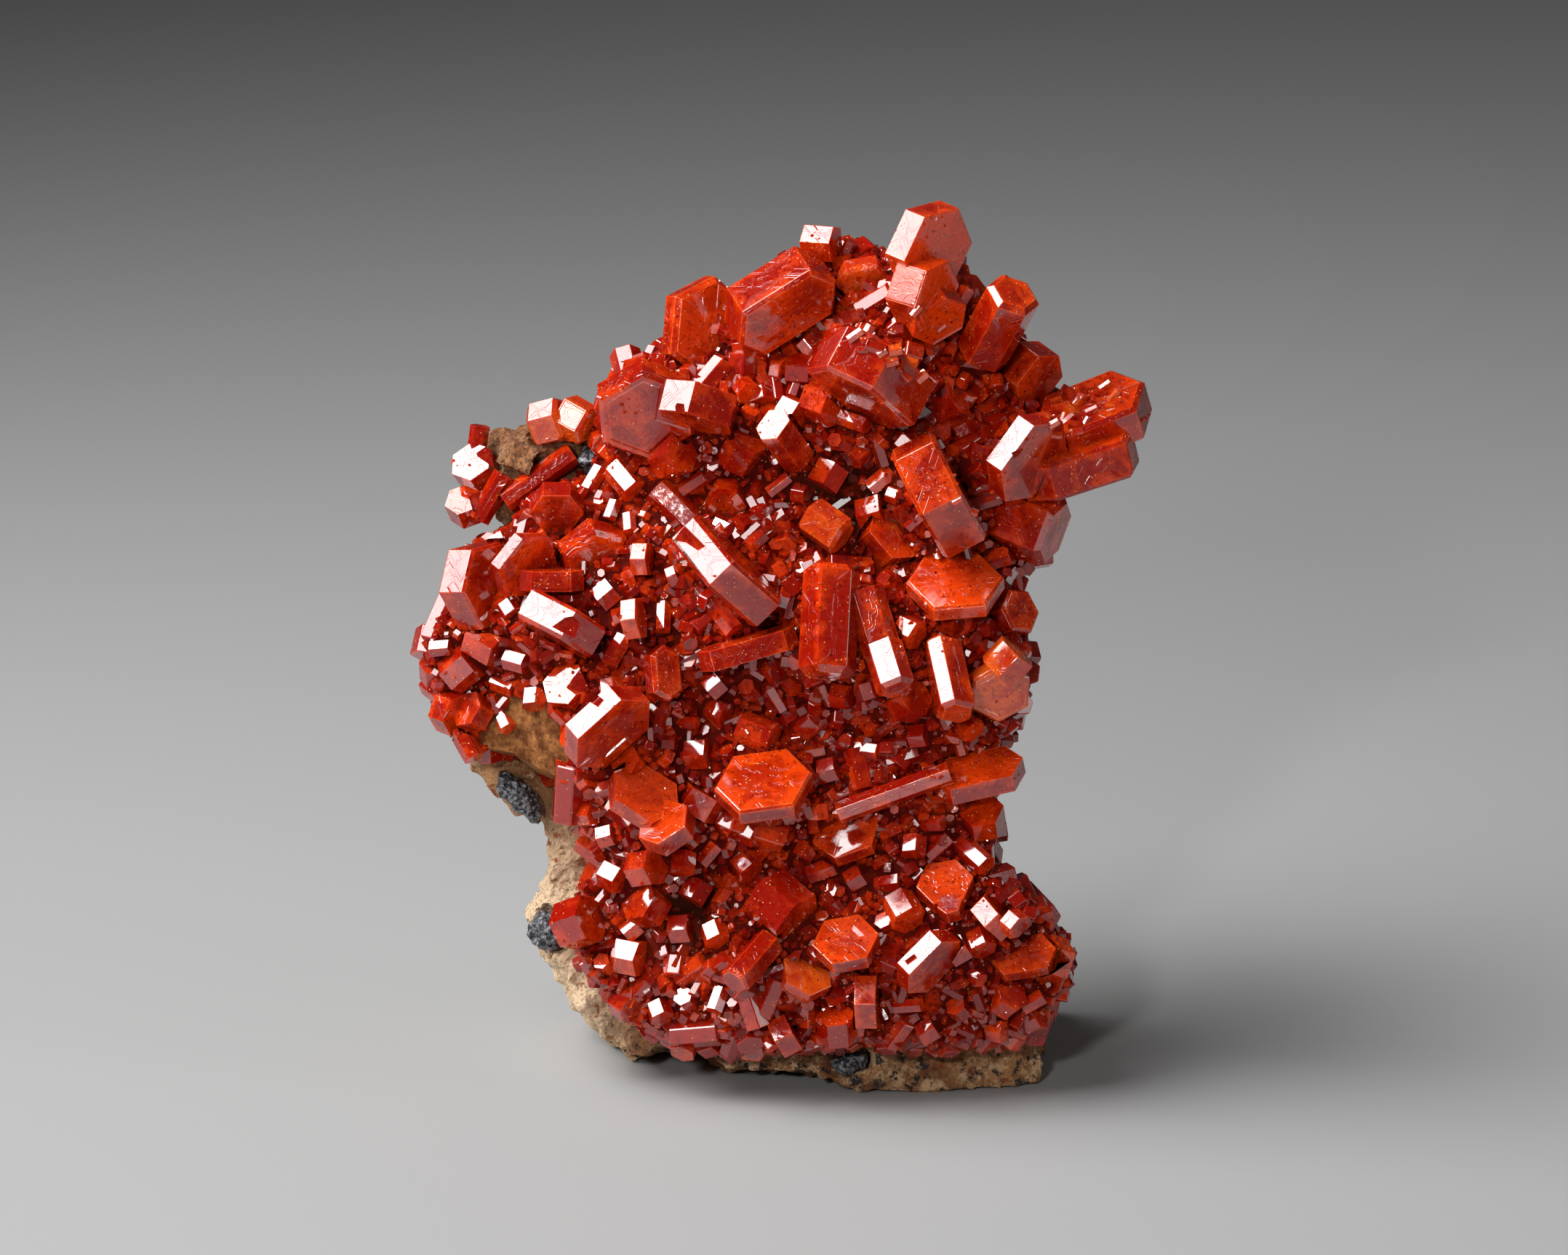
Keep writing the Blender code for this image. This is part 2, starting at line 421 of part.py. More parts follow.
def crystal_axes(heading, lift):
    """Long axis of a crystal and two directions across it, as (across, up, out)."""
    turn = math.radians(heading)
    rise = math.radians(lift)
    long_axis = Vector((math.cos(rise) * math.cos(turn), math.cos(rise) * math.sin(turn), math.sin(rise)))
    facing = (Vector((0.0, 0.0, 1.0)) - long_axis * long_axis.z).normalized()
    return long_axis, facing, long_axis.cross(facing)


def six_corners(flats, spin):
    """Corners of a hexagon whose opposite sides lie the three given widths apart."""
    corners = []
    for side in range(6):
        first = math.radians(spin + 60 * side)
        second = math.radians(spin + 60 * (side + 1))
        near = flats[side % 3] / 2.0
        far = flats[(side + 1) % 3] / 2.0
        share = math.sin(second - first)
        x = (near * math.sin(second) - far * math.sin(first)) / share
        y = (far * math.cos(first) - near * math.cos(second)) / share
        corners.append((x, y))
    return corners


def prism(name, crystal, grow=0.0):
    """One six-sided crystal with flat ends, bevelled where a bevel is given."""
    centre, heading, lift, spin, flats, length, bevel = crystal
    long_axis, facing, sideways = crystal_axes(heading, lift)
    middle = Vector(centre)
    widths = [flat + 2.0 * grow for flat in flats]
    half = length / 2.0 + grow
    levels = [(-half, 0.0), (half, 0.0)]
    if bevel:
        levels = [(-half, bevel), (-half + bevel, 0.0), (half - bevel, 0.0), (half, bevel)]
    bm = bmesh.new()
    rings = []
    for height, inset in levels:
        corners = six_corners([width - 2.0 * inset for width in widths], spin)
        level = middle + long_axis * height
        rings.append([bm.verts.new(to_world(level + facing * x + sideways * y)) for x, y in corners])
    for lower, upper in zip(rings, rings[1:]):
        for i in range(6):
            j = (i + 1) % 6
            bm.faces.new((lower[i], lower[j], upper[j], upper[i]))
    bm.faces.new(rings[-1])
    bm.faces.new(rings[0][::-1])
    return make_object(name, bm)


def grain(name, centre, half_sizes, turn, grow=0.0):
    """One rough lump of ore."""
    bm = bmesh.new()
    bmesh.ops.create_icosphere(bm, subdivisions=2, radius=1.0)
    spin = Matrix.Rotation(math.radians(turn), 3, "Z")
    for vert in bm.verts:
        rough = 1.0 + 0.22 * noise.noise(vert.co * 1.7 + Vector(centre))
        sized = Vector([vert.co[i] * (half_sizes[i] * rough + grow) for i in range(3)])
        vert.co = to_world(Vector(centre) + spin @ sized)
    return make_object(name, bm)


def floor_cutter():
    """A block under the floor level that leaves the flat foot."""
    bm = bmesh.new()
    bmesh.ops.create_cube(bm, size=1.0)
    for vert in bm.verts:
        vert.co = Vector((vert.co.x * 0.12, vert.co.y * 0.12, (vert.co.z - 0.5) * 0.02))
    return make_object("floor_cutter", bm)


def small_form(entry):
    """The full description of a small crystal that stands on the crust."""
    (across, up), form, turn, width, length = entry
    sheen = Vector(SHEEN)
    heading, lift, spin = 132.0, 55.0, turn
    if form == "free":
        heading, lift, spin = turn
    if form == "side":
        heading = turn
        along = Vector((math.cos(math.radians(turn)), math.sin(math.radians(turn))))
        lift = math.degrees(math.atan(-(sheen.x * along.x + sheen.y * along.y) / sheen.z))
        long_axis, facing, sideways = crystal_axes(heading, lift)
        spin = math.degrees(math.atan2(sheen.dot(sideways), sheen.dot(facing)))
    out = crust_front(across, up) + 0.12 * width
    return (across, up, out), heading, lift, spin, (width, width, width), length, 0.0


def paint(target, colour, roughness):
    material = bpy.data.materials.new(target.name + "_material")
    material.use_nodes = True
    shader = material.node_tree.nodes["Principled BSDF"]
    shader.inputs["Base Color"].default_value = colour
    shader.inputs["Roughness"].default_value = roughness
    target.data.materials.clear()
    target.data.materials.append(material)


for old in list(bpy.data.objects):
    bpy.data.objects.remove(old)

rock = slab("matrix", ROCK_OUTLINE, rock_front, rock_back, ROCK_STEP, 5, 0.7)
crust = slab("crystal_crust", CRUST_OUTLINE, crust_front, crust_back, CRUST_STEP, 9, 0.3)
seat = swollen("crust_seat", crust, GAP)
for index, entry in enumerate(SMALL_CRYSTALS):
    bud = small_form(entry)
    combine(crust, prism("bud_%02d" % index, bud), "UNION")
    combine(rock, prism("bud_seat_%02d" % index, bud, GAP), "DIFFERENCE")
combine(rock, seat, "DIFFERENCE")
floor = floor_cutter()
combine(rock, floor, "DIFFERENCE", keep_other=True)
combine(crust, floor, "DIFFERENCE")

for name, (centre, half_sizes, turn) in ORE_GRAINS.items():
    pocket = grain("pocket", centre, half_sizes, turn, GAP)
    combine(rock, pocket, "DIFFERENCE", keep_other=True)
    combine(crust, pocket, "DIFFERENCE")
    paint(grain(name, centre, half_sizes, turn), ORE_COLOUR, 0.45)

for name, crystals in PIECES.items():
    piece = prism(name, crystals[0])
    for number, crystal in enumerate(crystals[1:]):
        combine(piece, prism("%s_part_%d" % (name, number), crystal), "UNION")
    for crystal in crystals:
        pocket = prism("pocket", crystal, GAP)
        combine(crust, pocket, "DIFFERENCE", keep_other=True)
        combine(rock, pocket, "DIFFERENCE")
    if len(crystals) > 1:
        keep_largest(piece)
    paint(piece, AMBER_COLOUR if "amber" in name or "pale" in name else CRYSTAL_COLOUR, 0.12)

keep_largest(crust)
keep_largest(rock)
paint(crust, CRUST_COLOUR, 0.25)
paint(rock, ROCK_COLOUR, 0.9)
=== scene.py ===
import math

import bmesh
import bpy
import numpy as np
from mathutils import Matrix, Vector, noise
from mathutils.bvhtree import BVHTree


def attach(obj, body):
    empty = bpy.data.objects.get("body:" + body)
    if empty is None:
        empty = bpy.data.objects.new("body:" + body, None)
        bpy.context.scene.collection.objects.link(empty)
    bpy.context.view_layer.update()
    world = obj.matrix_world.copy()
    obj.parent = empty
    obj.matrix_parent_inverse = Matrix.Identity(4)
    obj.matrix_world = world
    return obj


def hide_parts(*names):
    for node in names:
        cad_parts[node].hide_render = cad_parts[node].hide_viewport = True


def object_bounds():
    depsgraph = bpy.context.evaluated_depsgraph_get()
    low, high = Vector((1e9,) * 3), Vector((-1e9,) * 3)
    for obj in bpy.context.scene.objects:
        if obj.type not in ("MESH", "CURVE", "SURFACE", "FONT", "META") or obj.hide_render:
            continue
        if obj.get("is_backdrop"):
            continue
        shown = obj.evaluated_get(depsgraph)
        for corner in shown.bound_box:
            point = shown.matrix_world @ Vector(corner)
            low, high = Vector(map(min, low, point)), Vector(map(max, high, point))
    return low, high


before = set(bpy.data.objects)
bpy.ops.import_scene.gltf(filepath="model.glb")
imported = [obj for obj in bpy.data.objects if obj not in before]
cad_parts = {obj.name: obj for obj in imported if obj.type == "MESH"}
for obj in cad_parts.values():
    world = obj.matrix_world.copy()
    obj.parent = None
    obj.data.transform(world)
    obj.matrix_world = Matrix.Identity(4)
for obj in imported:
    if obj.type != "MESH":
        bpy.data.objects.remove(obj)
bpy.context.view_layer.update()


# Large crystals.
# Real piece: six-sided vanadinite crystals, glassy, with sharp edges and growth steps on their faces.
# They have grown from the crust of small ones, which holds them at their roots.
class Wire:
    """A shader value that can be added, multiplied and compared like a number."""

    def __init__(self, tree, socket):
        self.tree = tree
        self.socket = socket

    def blend(self, operation, *others):
        """One Math node that joins this value with others."""
        node = self.tree.nodes.new("ShaderNodeMath")
        node.operation = operation
        for slot, value in zip(node.inputs, (self,) + others):
            if isinstance(value, Wire):
                self.tree.links.new(value.socket, slot)
            else:
                slot.default_value = value
        return Wire(self.tree, node.outputs[0])

    def __add__(self, other):
        return self.blend("ADD", other)

    def __sub__(self, other):
        return self.blend("SUBTRACT", other)

    def __mul__(self, other):
        return self.blend("MULTIPLY", other)

    def __radd__(self, other):
        return self.blend("ADD", other)

    def __rsub__(self, other):
        return (self * -1.0).blend("ADD", other)

    def ramp(self, low, high):
        """0 below low, 1 above high, smooth between."""
        node = self.tree.nodes.new("ShaderNodeMapRange")
        node.interpolation_type = "SMOOTHSTEP"
        self.tree.links.new(self.socket, node.inputs["Value"])
        node.inputs["From Min"].default_value = low
        node.inputs["From Max"].default_value = high
        return Wire(self.tree, node.outputs["Result"])

    def node(self, kind, output, settings=(), **inputs):
        """Any other shader node: inputs by name, values or wires; settings are (name, value) pairs."""
        made = self.tree.nodes.new(kind)
        for name, value in settings:
            setattr(made, name, value)
        for name, value in inputs.items():
            slot = next(s for s in made.inputs if s.enabled and s.name.replace(" ", "_") == name)
            if isinstance(value, Wire):
                self.tree.links.new(value.socket, slot)
            else:
                slot.default_value = value
        return Wire(self.tree, next(s for s in made.outputs if s.enabled and s.name == output))


def mix_colour(share, first, second):
    """Colour mix of two colours or wires by a wire's value."""
    node = share.tree.nodes.new("ShaderNodeMix")
    node.data_type = "RGBA"
    share.tree.links.new(share.socket, node.inputs[0])
    for slot, value in ((node.inputs[6], first), (node.inputs[7], second)):
        if isinstance(value, Wire):
            share.tree.links.new(value.socket, slot)
        else:
            slot.default_value = (*value, 1.0)
    return Wire(share.tree, node.outputs[2])


def noise_at(place, scale, detail=2.0, roughness=0.5, distortion=0.0):
    """Noise from 0 to 1 over the given places; scale is in bumps a millimetre."""
    return place.node("ShaderNodeTexNoise", "Fac", Vector=place, Scale=scale, Detail=detail,
                      Roughness=roughness, Distortion=distortion)


def cells_at(place, scale, output="Distance"):
    """Voronoi cells over the given places: distance from the nearest point, or the cell's colour."""
    return place.node("ShaderNodeTexVoronoi", output, Vector=place, Scale=scale)


def new_material(name):
    """An empty material: its tree, its Principled shader, and a wire of place in millimetres."""
    material = bpy.data.materials.new(name)
    material.use_nodes = True
    tree = material.node_tree
    shader = tree.nodes["Principled BSDF"]
    place = tree.nodes.new("ShaderNodeTexCoord")
    scaled = tree.nodes.new("ShaderNodeVectorMath")
    scaled.operation = "SCALE"
    scaled.inputs["Scale"].default_value = 1000.0
    tree.links.new(place.outputs["Object"], scaled.inputs[0])
    return material, tree, shader, Wire(tree, scaled.outputs[0])


def finish_material(tree, shader, colour, roughness, height, depth):
    """Joins colour, roughness and a bump of the given depth in metres to the shader."""
    tree.links.new(colour.socket, shader.inputs["Base Color"])
    tree.links.new(roughness.socket, shader.inputs["Roughness"])
    bump = tree.nodes.new("ShaderNodeBump")
    bump.inputs["Distance"].default_value = depth
    bump.inputs["Strength"].default_value = 1.0
    tree.links.new(height.socket, bump.inputs["Height"])
    tree.links.new(bump.outputs["Normal"], shader.inputs["Normal"])


def on_plate(across, up, out):
    """World place of a spot in the front view, in millimetres across, up and out toward the viewer."""
    lean = math.radians(15.0)
    back = up * math.sin(lean) - out * math.cos(lean)
    return Vector((across - 4.0, back - 13.0, up * math.cos(lean) + out * math.sin(lean))) * 0.001


def distance_from(place, centre):
    """Distance in millimetres of the shaded spot from a world place given in metres."""
    away = place.node("ShaderNodeVectorMath", "Value", [("operation", "DISTANCE")], Vector=place)
    away.socket.node.inputs[1].default_value = centre * 1000.0
    return away


def vanadinite(name, deep, bright, veil, gloss, painted_shade_spots=()):
    """Vanadinite: deep red with cloudy orange growth, golden specks, fine lines along the crystal; a lighter
    band along the edges of large faces is painted glow of light through thin edges, and near the given
    hollows the colour is darkened as painted shade.
    """
    material, tree, shader, place = new_material(name)
    cap = place.node("ShaderNodeAttribute", "Fac", [("attribute_name", "cap")])
    tone = place.node("ShaderNodeAttribute", "Fac", [("attribute_name", "tone")])
    painted_glow_rim = place.node("ShaderNodeAttribute", "Fac", [("attribute_name", "painted_glow_rim")])
    along = place.node("ShaderNodeAttribute", "Vector", [("attribute_name", "grain")])
    cloud = noise_at(place, 0.42, 6.0, 0.66, 0.4)
    area = noise_at(place, 0.09)
    streak = place.node("ShaderNodeMapping", "Vector", Vector=place, Scale=(0.6, 0.6, 2.4),
                        Rotation=(0.5, 0.4, 0.3))
    wisp = noise_at(streak, 0.9, 8.0, 0.75)
    speck = noise_at(place, 3.2, 4.0, 0.75)
    spot = cells_at(place, 3.4)
    seed = cells_at(place, 3.4, "Color")
    which = place.node("ShaderNodeSeparateColor", "Red", Color=seed)
    ruled = place.node("ShaderNodeMapping", "Vector", Vector=along, Scale=(6.0, 0.35, 3.7))
    rule = noise_at(ruled, 1.0, 4.0, 0.7)
    terraced = place.node("ShaderNodeMapping", "Vector", Vector=along, Scale=(0.75, 0.42, 3.7))
    terrace = noise_at(terraced, 1.0, 1.0)
    # The band along the edges of large faces is made lighter orange: painted glow of light through the thin
    # edges.
    share = cloud.ramp(0.40, 0.62) * 0.55 + cap * 0.30 + tone * 0.30 + painted_glow_rim * 0.30 + (rule - 0.5) * 0.5
    share = (share + (area - 0.5) * 0.9 - 0.12).ramp(0.0, 1.0)
    body = mix_colour(share, deep, bright)
    veiled = mix_colour(wisp.ramp(0.57, 0.74) * (0.22 + cap * 0.45), body, veil)
    dark = mix_colour(speck.ramp(0.30, 0.47), (deep[0] * 0.35, deep[1] * 0.3, deep[2] * 0.3), veiled)
    fleck = (1.0 - spot.ramp(0.10, 0.20)) * which.ramp(0.62, 0.64) * wisp.ramp(0.44, 0.54)
    colour = mix_colour(fleck, dark, (1.0, 0.52, 0.15))
    # Near each of these places the colour darkens toward near-black: painted shade of the hollows.
    for centre, reach in painted_shade_spots:
        painted_shade = 1.0 - (distance_from(place, centre) + cloud * 4.0).ramp(reach, reach + 4.0)
        colour = mix_colour(painted_shade * 0.85, colour, (0.030, 0.006, 0.002))
    pit = (1.0 - spot.ramp(0.05, 0.14)) * (1.0 - which.ramp(0.38, 0.40))
    level = terrace.ramp(0.44, 0.452) + terrace.ramp(0.52, 0.532) + terrace.ramp(0.60, 0.612)
    cut = place.node("ShaderNodeTexVoronoi", "Distance", [("distance", "CHEBYCHEV")], Vector=terraced,
                     Scale=1.7)
    height = rule * 0.24 + speck * 0.06 + level * 0.8 - pit * 1.3 - (1.0 - cut.ramp(0.10, 0.13)) * 0.5
    roughness = gloss + speck.ramp(0.45, 0.75) * 0.12 + fleck * 0.4
    finish_material(tree, shader, colour, roughness, height, 0.000014)
    shader.inputs["IOR"].default_value = 1.95
    shader.inputs["Subsurface Weight"].default_value = 0.30
    shader.inputs["Subsurface Radius"].default_value = (1.0, 0.14, 0.03)
    shader.inputs["Subsurface Scale"].default_value = 0.0012
    return material


red = vanadinite("vanadinite_red", (0.32, 0.006, 0.001), (0.76, 0.055, 0.003), (0.92, 0.20, 0.014), 0.05)
# Painted shade in the hollows between the large crystals: near each place the colour darkens; place and
# reach in millimetres.
PAINTED_SHADE_SPOTS = [
    (on_plate(5.0, 45.5, 3.0), 4.5), (on_plate(-7.0, 13.5, 2.5), 3.5), (on_plate(-9.0, 31.5, 2.5), 2.5),
]
# The small crystals are darkened near the hollows: painted shade.
dusky_red = vanadinite(
    "vanadinite_dusky", (0.20, 0.004, 0.001), (0.58, 0.036, 0.002), (0.80, 0.15, 0.012), 0.07, PAINTED_SHADE_SPOTS)
dusky_red.node_tree.nodes["Principled BSDF"].inputs["IOR"].default_value = 1.75
amber = vanadinite("vanadinite_amber", (0.50, 0.026, 0.003), (0.80, 0.12, 0.008), (0.95, 0.38, 0.06), 0.08)
# A lighter red for the bevels along the crystal edges: painted highlight lines.
edge_highlight_red = vanadinite("vanadinite_edge", (0.50, 0.022, 0.003), (0.85, 0.11, 0.010), (0.95, 0.32, 0.04), 0.10)
# How bright, 1, or how deep, -1, a crystal's red is; the others have a tone from noise.
TONES = {
    "back_left_plate": 0.95, "crown_cluster": 0.5, "great_plate": 0.55, "shelf_plate": 0.45,
    "middle_posts": -0.5, "brow_slab": -0.75, "great_slab": -0.2, "cheek_slab": 0.2, "right_horn": -0.1,
    "split_log": -0.2, "right_wing": -0.25, "left_drum": -0.1, "narrow_post": 0.2,
    "right_foot_pair": 0.6, "foot_plate": 0.4,
}
ROCKS = {"matrix", "crystal_crust", "ore_elbow", "ore_lobe", "ore_arm", "ore_foot"}
big_names = [name for name in sorted(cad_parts) if name not in ROCKS]
INWARD = on_plate(0.0, 0.0, -1.0) - on_plate(0.0, 0.0, 0.0)
# A place in front of the whole specimen, out from the plate in millimetres, where rays start.
IN_FRONT = 30.0
# Metres and square metres: corners closer than MERGE are one; faces larger than CAP_AREA with six or
# more corners are end faces; those larger than RIM_AREA get a rim, RIM_WIDTH at most, and all edges a
# bevel of EDGE_WIDTH.
MERGE = 0.000002
CAP_AREA = 0.000003
RIM_AREA = 0.0000022
RIM_WIDTH = 0.0010
EDGE_WIDTH = 0.000045
# Bevel of the edges of the small crystals, in metres.
FINE_EDGE = 0.00003
# Six in ten end faces have a growth step: how far in from the edge it lies, and how high it is, in metres.
STEPPED_SHARE = 0.6
STEP_INSET = 0.0003
STEP_MORE = 0.0007
STEP_HEIGHTS = [-0.00004, 0.00004, 0.00006]
# Hollows of the faces that mirror the key light: outline in the front view and depth, in millimetres.
HOLLOWS = {
    "split_log": [
        ([(-8.0, 43.6), (-8.4, 42.3), (-7.3, 42.1), (-6.4, 41.5), (-5.9, 41.8), (-7.5, 43.4)], 0.45)],
    "slanted_log": [([(-14.3, 30.9), (-13.5, 30.3), (-13.9, 29.8), (-14.7, 30.3)], 0.4)],
    "left_boxes": [([(-17.4, 35.8), (-16.4, 36.5), (-15.8, 36.6), (-14.6, 35.5), (-15.3, 34.7)], 0.3)],
    "bright_hook": [
        ([(-16.1, 32.8), (-16.6, 32.0), (-16.4, 31.2), (-15.7, 30.7), (-15.1, 30.9), (-13.7, 30.8),
          (-13.7, 32.8)], 0.5)],
    "pale_pair": [([(-8.2, 52.6), (-7.5, 52.5), (-7.4, 51.9), (-8.1, 51.8)], 0.3)],
    "right_wing": [([(17.2, 48.4), (18.0, 48.9), (17.8, 49.2), (17.0, 48.8)], 0.25)],
    "foot_log": [([(9.3, 10.4), (10.0, 10.9), (9.8, 11.2), (9.1, 10.7)], 0.25)],
    "arm_cluster": [([(-23.8, 49.7), (-22.1, 49.7), (-22.1, 47.9), (-22.8, 48.4), (-23.4, 48.8)], 0.4),
                    ([(-24.0, 46.5), (-23.2, 46.5), (-23.2, 44.3), (-23.7, 44.6), (-24.0, 45.5)], 0.4)],
}


def hollow_out(piece, outline, depth):
    """Cuts a flat-floored hollow of the given outline, as seen from the front, into a crystal."""
    middle = sum((Vector(corner) for corner in outline), Vector((0.0, 0.0))) / len(outline)
    bm = bmesh.new()
    bm.from_mesh(piece.data)
    start = on_plate(middle.x, middle.y, IN_FRONT)
    distance = BVHTree.FromBMesh(bm).ray_cast(start, INWARD)[3]
    bm.free()
    level = IN_FRONT - distance * 1000.0 - depth
    bm = bmesh.new()
    rings = [[bm.verts.new(on_plate(a, u, out)) for a, u in outline] for out in (level, level + 4.0)]
    count = len(outline)
    for k in range(count):
        bm.faces.new((rings[0][k], rings[0][(k + 1) % count], rings[1][(k + 1) % count], rings[1][k]))
    bm.faces.new(rings[1])
    bm.faces.new(rings[0][::-1])
    bmesh.ops.recalc_face_normals(bm, faces=bm.faces)
    mesh = bpy.data.meshes.new("hollow")
    bm.to_mesh(mesh)
    bm.free()
    cutter = bpy.data.objects.new("hollow", mesh)
    bpy.context.scene.collection.objects.link(cutter)
    cut = piece.modifiers.new("cut", "BOOLEAN")
    cut.operation = "DIFFERENCE"
    cut.object = cutter
    cut.solver = "EXACT"
    shaped = bpy.data.meshes.new_from_object(piece.evaluated_get(bpy.context.evaluated_depsgraph_get()))
    piece.modifiers.clear()
    piece.data = shaped
    bpy.data.objects.remove(cutter)


cleared = []
for order, name in enumerate(big_names):
    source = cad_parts[name]
    bm = bmesh.new()
    bm.from_mesh(source.data)
    bm.transform(source.matrix_world)
    bmesh.ops.remove_doubles(bm, verts=bm.verts, dist=MERGE)
    bmesh.ops.dissolve_limit(bm, angle_limit=math.radians(2.0), verts=bm.verts, edges=bm.edges)
    bm.normal_update()
    layer = bm.faces.layers.float.new("cap")
    tone_layer = bm.faces.layers.float.new("tone")
    shade = TONES.get(name, noise.noise(Vector((order * 3.7, 1.3, 0.4))) * 0.9)
    grain_layer = bm.loops.layers.float_vector.new("grain")
    for face in bm.faces:
        face[layer] = 1.0 if len(face.verts) >= 6 and face.calc_area() > CAP_AREA else 0.0
        face[tone_layer] = shade
        ribs = [
            edge for edge in face.edges
            if len(edge.link_faces) == 2 and abs(math.degrees(edge.calc_face_angle()) - 60.0) < 1.0
        ]
        rib = max(ribs or face.edges, key=lambda edge: edge.calc_length())
        rib_axis = (rib.verts[1].co - rib.verts[0].co).normalized()
        side_axis = face.normal.cross(rib_axis)
        for corner in face.loops:
            spot = corner.vert.co * 1000.0
            corner[grain_layer] = (spot.dot(side_axis), spot.dot(rib_axis), order + face.index * 1.7)
    chance = np.random.default_rng(40 + order)
    # Corners on the outer band of large faces get 1 and inner corners 0; the lighter band is painted glow of
    # light through thin edges.
    painted_glow_rim_layer = bm.verts.layers.float.new("painted_glow_rim")
    caps = [face for face in bm.faces if face[layer] > 0.5]
    for vert in bm.verts:
        vert[painted_glow_rim_layer] = 1.0
    for face in [face for face in bm.faces if face.calc_area() > RIM_AREA and len(face.verts) <= 8]:
        edge = min(e.calc_length() for e in face.edges)
        bmesh.ops.inset_individual(bm, faces=[face], thickness=min(edge * 0.38, RIM_WIDTH), depth=0.0,
                                   use_even_offset=True)
        for vert in face.verts:
            vert[painted_glow_rim_layer] = 0.0
    for face in caps:
        if chance.random() < STEPPED_SHARE:
            edge = min(e.calc_length() for e in face.edges)
            bmesh.ops.inset_individual(
                bm, faces=[face], thickness=min(edge * 0.36, STEP_INSET + STEP_MORE * chance.random()),
                depth=float(chance.choice(STEP_HEIGHTS)), use_even_offset=True)
    mesh = bpy.data.meshes.new(name + "_crystal")
    bm.to_mesh(mesh)
    bm.free()
    mesh.materials.append(amber if "amber" in name or "golden" in name else red)
    mesh.materials.append(edge_highlight_red)
    piece = bpy.data.objects.new(name + "_crystal", mesh)
    bpy.context.scene.collection.objects.link(piece)
    for outline, depth in HOLLOWS.get(name, ()):
        hollow_out(piece, outline, depth)
    edges = piece.modifiers.new("edges", "BEVEL")
    edges.width = EDGE_WIDTH
    edges.segments = 2
    # The bevels take the lighter edge material: painted highlight along the edges.
    edges.material = 1
    edges.limit_method = "ANGLE"
    edges.angle_limit = math.radians(12.0)
    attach(piece, "root")
    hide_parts(name)
    cleared.append(piece)


# Rock.
# Real piece: the matrix, a broken plate of brown, ochre and pale tan rock with a rough, pitted surface.
# The crust and the crystals grow on its front; its foot is flat.

# Up to FLAT_BAND metres above the floor a surface gets no noise, so the foot is flat. The whole surface,
# the foot too, is drawn in by DRAWN_IN of the largest push, so that the outline keeps its size.
FLAT_BAND = 0.0002
DRAWN_IN = 0.35


def rough_copy(name, node, voxel, amounts):
    """A finely divided copy of a CAD node, its surface pushed in and out by noise.

    The voxel size is in metres; amounts are pairs of a bump's size in millimetres and push in metres.
    """
    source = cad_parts[node]
    mesh = source.data.copy()
    mesh.transform(source.matrix_world)
    made = bpy.data.objects.new(name, mesh)
    bpy.context.scene.collection.objects.link(made)
    remesh = made.modifiers.new("grid", "REMESH")
    remesh.mode = "VOXEL"
    remesh.voxel_size = voxel
    fine = bpy.data.meshes.new_from_object(made.evaluated_get(bpy.context.evaluated_depsgraph_get()))
    made.modifiers.clear()
    made.data = fine
    count = len(fine.vertices)
    places = np.empty(count * 3)
    normals = np.empty(count * 3)
    fine.vertices.foreach_get("co", places)
    fine.vertices.foreach_get("normal", normals)
    places = places.reshape(-1, 3)
    normals = normals.reshape(-1, 3)
    for index in range(count):
        spot = Vector(places[index]) * 1000.0
        push = 0.0
        for size, depth in amounts:
            push += depth * noise.noise(spot / size + Vector((0.0, 3.0, size)))
        if places[index][2] < FLAT_BAND:
            push = 0.0
        places[index] += normals[index] * (push - amounts[0][1] * DRAWN_IN)
    places[:, 2] = np.maximum(places[:, 2], 0.0)
    fine.vertices.foreach_set("co", places.ravel())
    fine.update()
    return made


material, tree, shader, place = new_material("rough_rock")
patch = noise_at(place, 0.13, 5.0, 0.62)
bed = noise_at(place, 0.5, 8.0, 0.7)
sand = noise_at(place, 4.0, 6.0, 0.75)
hollow = cells_at(place, 1.3)
across = place.node("ShaderNodeSeparateXYZ", "X", Vector=place)
upward = place.node("ShaderNodeSeparateXYZ", "Z", Vector=place)
pale_side = (1.0 - across.ramp(-19.5, -14.5)) * (1.0 - (upward + patch * 12.0).ramp(20.0, 27.0))
foot = 1.0 - upward.ramp(2.6, 4.4)
base = mix_colour(patch.ramp(0.38, 0.62), (0.26, 0.095, 0.030), (0.60, 0.30, 0.12))
base = mix_colour(bed.ramp(0.50, 0.70), base, (0.80, 0.56, 0.33))
base = mix_colour(pale_side * bed.ramp(0.26, 0.46), base, (0.92, 0.66, 0.42))
base = mix_colour(sand.ramp(0.30, 0.50), (0.085, 0.036, 0.018), base)
rust = noise_at(place, 0.9, 5.0, 0.6, 0.6)
base = mix_colour(rust.ramp(0.58, 0.68), base, (0.36, 0.085, 0.022))
stain = noise_at(place, 1.1, 7.0, 0.72)
base = mix_colour(stain.ramp(0.61, 0.66) * (1.0 - pale_side * 0.8), base, (0.022, 0.019, 0.020))
base = mix_colour(foot * bed.ramp(0.46, 0.60) * 0.9, base, (0.84, 0.52, 0.27))
base = mix_colour(foot * (1.0 - bed.ramp(0.36, 0.44)) * 0.9, base, (0.26, 0.065, 0.018))
base = mix_colour(foot * stain.ramp(0.54, 0.60), base, (0.030, 0.026, 0.026))
base = mix_colour(sand.ramp(0.60, 0.68) * bed.ramp(0.40, 0.55) * 0.8, base, (0.86, 0.62, 0.30))
arm = (upward + bed * 8.0).ramp(42.0, 50.0) * (1.0 - across.ramp(-19.0, -13.0)) * 0.8
